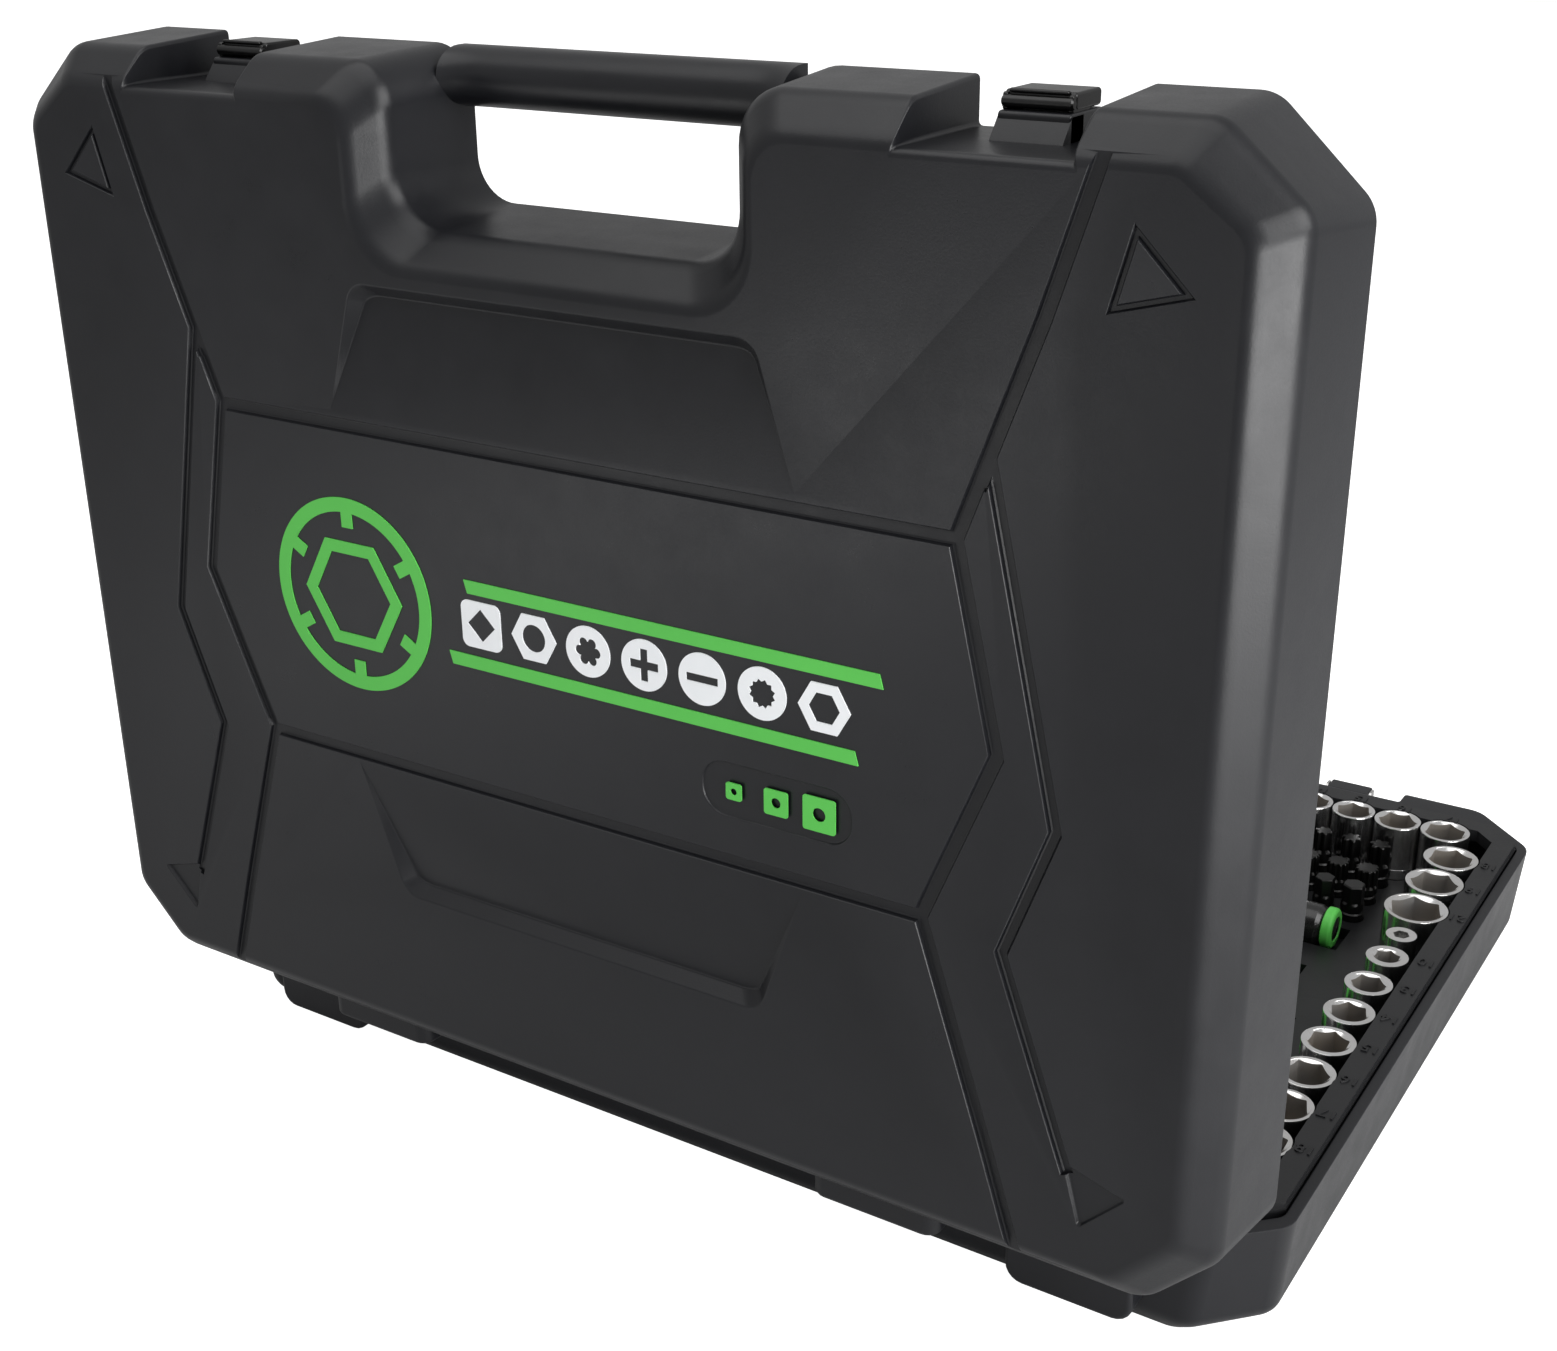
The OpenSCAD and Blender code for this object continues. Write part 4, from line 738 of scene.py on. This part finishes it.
for name in ("ratchet_half", "ratchet_mid", "ratchet_small"):
    (low, high), = looseParts(name + "_ring")
    band, dome = collarShape(low, high)
    points, faces = join(band, dome)
    piece = makeObject(name + "_collar", points * mm, faces)
    finishPiece(piece, greenLook, name, (name + "_ring",), sharp=32)
    piece.data.materials.append(gripLook)
    inside = np.zeros(len(faces), int)
    inside[len(band[1]):] = 1
    piece.data.polygons.foreach_set("material_index", inside)
print("collars made")


# ---- latch levers: a folded cover plate with a rolled near edge and a slot under the roll

leverForm = {"wide": (150.0, 173.0), "plate": (385.0, 390.2), "deep": (35.6, 53.6), "rollRadius": 1.9,
             "rollCentre": (387.0, 34.6), "cheek": ((384.3, 389.6), (33.9, 46), 0.5, 0.8, 0),
             "lip": ((389.4, 390.7), (34.4, 36.4), 0.5, 0.7, 0)}


def leverShape():
    f = leverForm
    low, high = f["wide"]
    cover = softBlock((low, high), f["plate"], f["deep"], 0.9, 1.4, 0)
    roll = rod(low, high, f["rollRadius"], 0.7, f["rollCentre"], 24)
    cheeks = [softBlock((a, a + 1.6), *f["cheek"]) for a in (low + 0.2, high - 1.8)]
    return join(cover, roll, *cheeks, softBlock((low + 2, high - 2), *f["lip"]))


for side, turnOver in (("left", lambda shape: shape), ("right", mirrorX)):
    points, faces = turnOver(leverShape())
    piece = makeObject("lever_" + side + "_cover", onLid(points), faces)
    finishPiece(piece, latchLook, "latch_lever_" + side, ("latch_lever_" + side,))
print("levers made")


# ---- finishes on the pieces that keep their shape

looks = {"tray": trayLook, "chrome": chromeLook, "steel": steelLook, "latch_plate": latchLook, "bit_steel": blackSteelLook,
         "grip": gripLook, "green": greenLook, "white_mark": whiteLook, "case": caseLook}
for entry in record["subparts"]:
    mesh = frame["nodes"][entry["node"]].data
    mesh.materials.clear()
    mesh.materials.append(looks[entry["material_slot"]])

# ---- floor, light and camera

# the last three floor settings give the strength, stretch and place of a painted reflection, a floor patch that glows
# only in glossy rays
studio = {"floor": 0.52, "glow": 1.0, "sky": 0.46, "key": 33.0, "top": 20.0, "card": 10.0,
          "paintedReflectionStrength": 2.8, "paintedReflectionShape": (2.5, 1.0, 0.0), "paintedReflectionPlace": (1.25, 1.5, 0.0)}


def makeStage():
    side = 6.0
    corners = [(-side, -side), (side, -side), (side, side), (-side, side)]
    floor = makeObject("floor", [(x, y, -0.0005) for x, y in corners], [[0, 1, 2, 3]])
    look = Finish("floorLook", Roughness=0.6, Emission_Color=(1, 1, 1, 1))
    tone = look.span(look.noise(3.0), 0.3, 0.7)
    # painted reflection: a long patch of floor behind the case glows for glossy rays only, so the case mirrors a long
    # window that is not there
    narrow = look.node("VectorMath", {"operation": "MULTIPLY"}, {0: look.place, 1: studio["paintedReflectionShape"]})
    apart = look.node("VectorMath", {"operation": "DISTANCE"}, {0: narrow, 1: studio["paintedReflectionPlace"]}, "Value")
    # painted reflection: emission seen only by glossy rays, fading with distance from the patch's middle
    paintedReflection = look.node("LightPath", {}, {}, "Is Glossy Ray") * look.span(apart, 1.0, 0.0) * studio["paintedReflectionStrength"]
    look.give(Base_Color=look.blend(tone, grey(studio["floor"]), grey(studio["floor"] * 1.03)),
              Emission_Strength=look.node("LightPath", {}, {}, "Is Camera Ray") * studio["glow"] + paintedReflection)
    floor.data.materials.append(look.material)


def makeLight(name, place, target, size, power):
    light = bpy.data.lights.new(name, "AREA")
    light.shape, light.size, light.size_y, light.energy = "RECTANGLE", size[0], size[1], power
    lamp = bpy.data.objects.new(name, light)
    bpy.context.scene.collection.objects.link(lamp)
    lamp.matrix_world = aimed(place, np.array(target, float) - place, 0.0)


def aimed(place, forward, roll):
    forward = np.array(forward, float) / np.linalg.norm(forward)
    right = np.cross(forward, (0, 0, 1))
    right /= np.linalg.norm(right)
    up = np.cross(right, forward)
    c, s = math.cos(roll), math.sin(roll)
    rows = np.column_stack([c * right + s * up, c * up - s * right, -forward, place])
    return Matrix(rows.tolist() + [[0, 0, 0, 1]])


makeStage()
makeLight("windowRight", (-1.9, 0.3, 1.3), (0, 0.1, 0.15), (1.6, 1.4), studio["key"])
makeLight("ceiling", (0.2, 0.6, 2.2), (0, 0.1, 0.1), (2.2, 2.2), studio["top"])
makeLight("cardLow", (-1.15, 0.55, 0.2), (-0.2, 0.2, 0.2), (0.9, 0.35), studio["card"])
world = bpy.data.worlds.new("studio")
bpy.context.scene.world = world
world.use_nodes = True
backdrop = world.node_tree.nodes["Background"]
backdrop.inputs[0].default_value = (1, 1, 1, 1)
ray = world.node_tree.nodes.new("ShaderNodeLightPath")
level = world.node_tree.nodes.new("ShaderNodeMapRange")      # white behind the object, softer where it lights it
level.inputs[3].default_value, level.inputs[4].default_value = studio["sky"], 1.0
world.node_tree.links.new(ray.outputs["Is Camera Ray"], level.inputs[0])
world.node_tree.links.new(level.outputs[0], backdrop.inputs[1])

camera = bpy.data.objects.new("camera", bpy.data.cameras.new("camera"))
camera.data.lens, camera.data.sensor_width, camera.data.clip_start = 47.04, 36.0, 0.01
camera.matrix_world = aimed((-0.4232, 0.7715, 0.5162), (0.4965, -0.7781, -0.3848), -0.010)
bpy.context.scene.collection.objects.link(camera)
bpy.context.scene.camera = camera

bpy.context.scene.view_settings.view_transform = "Standard"
print("scene ready")
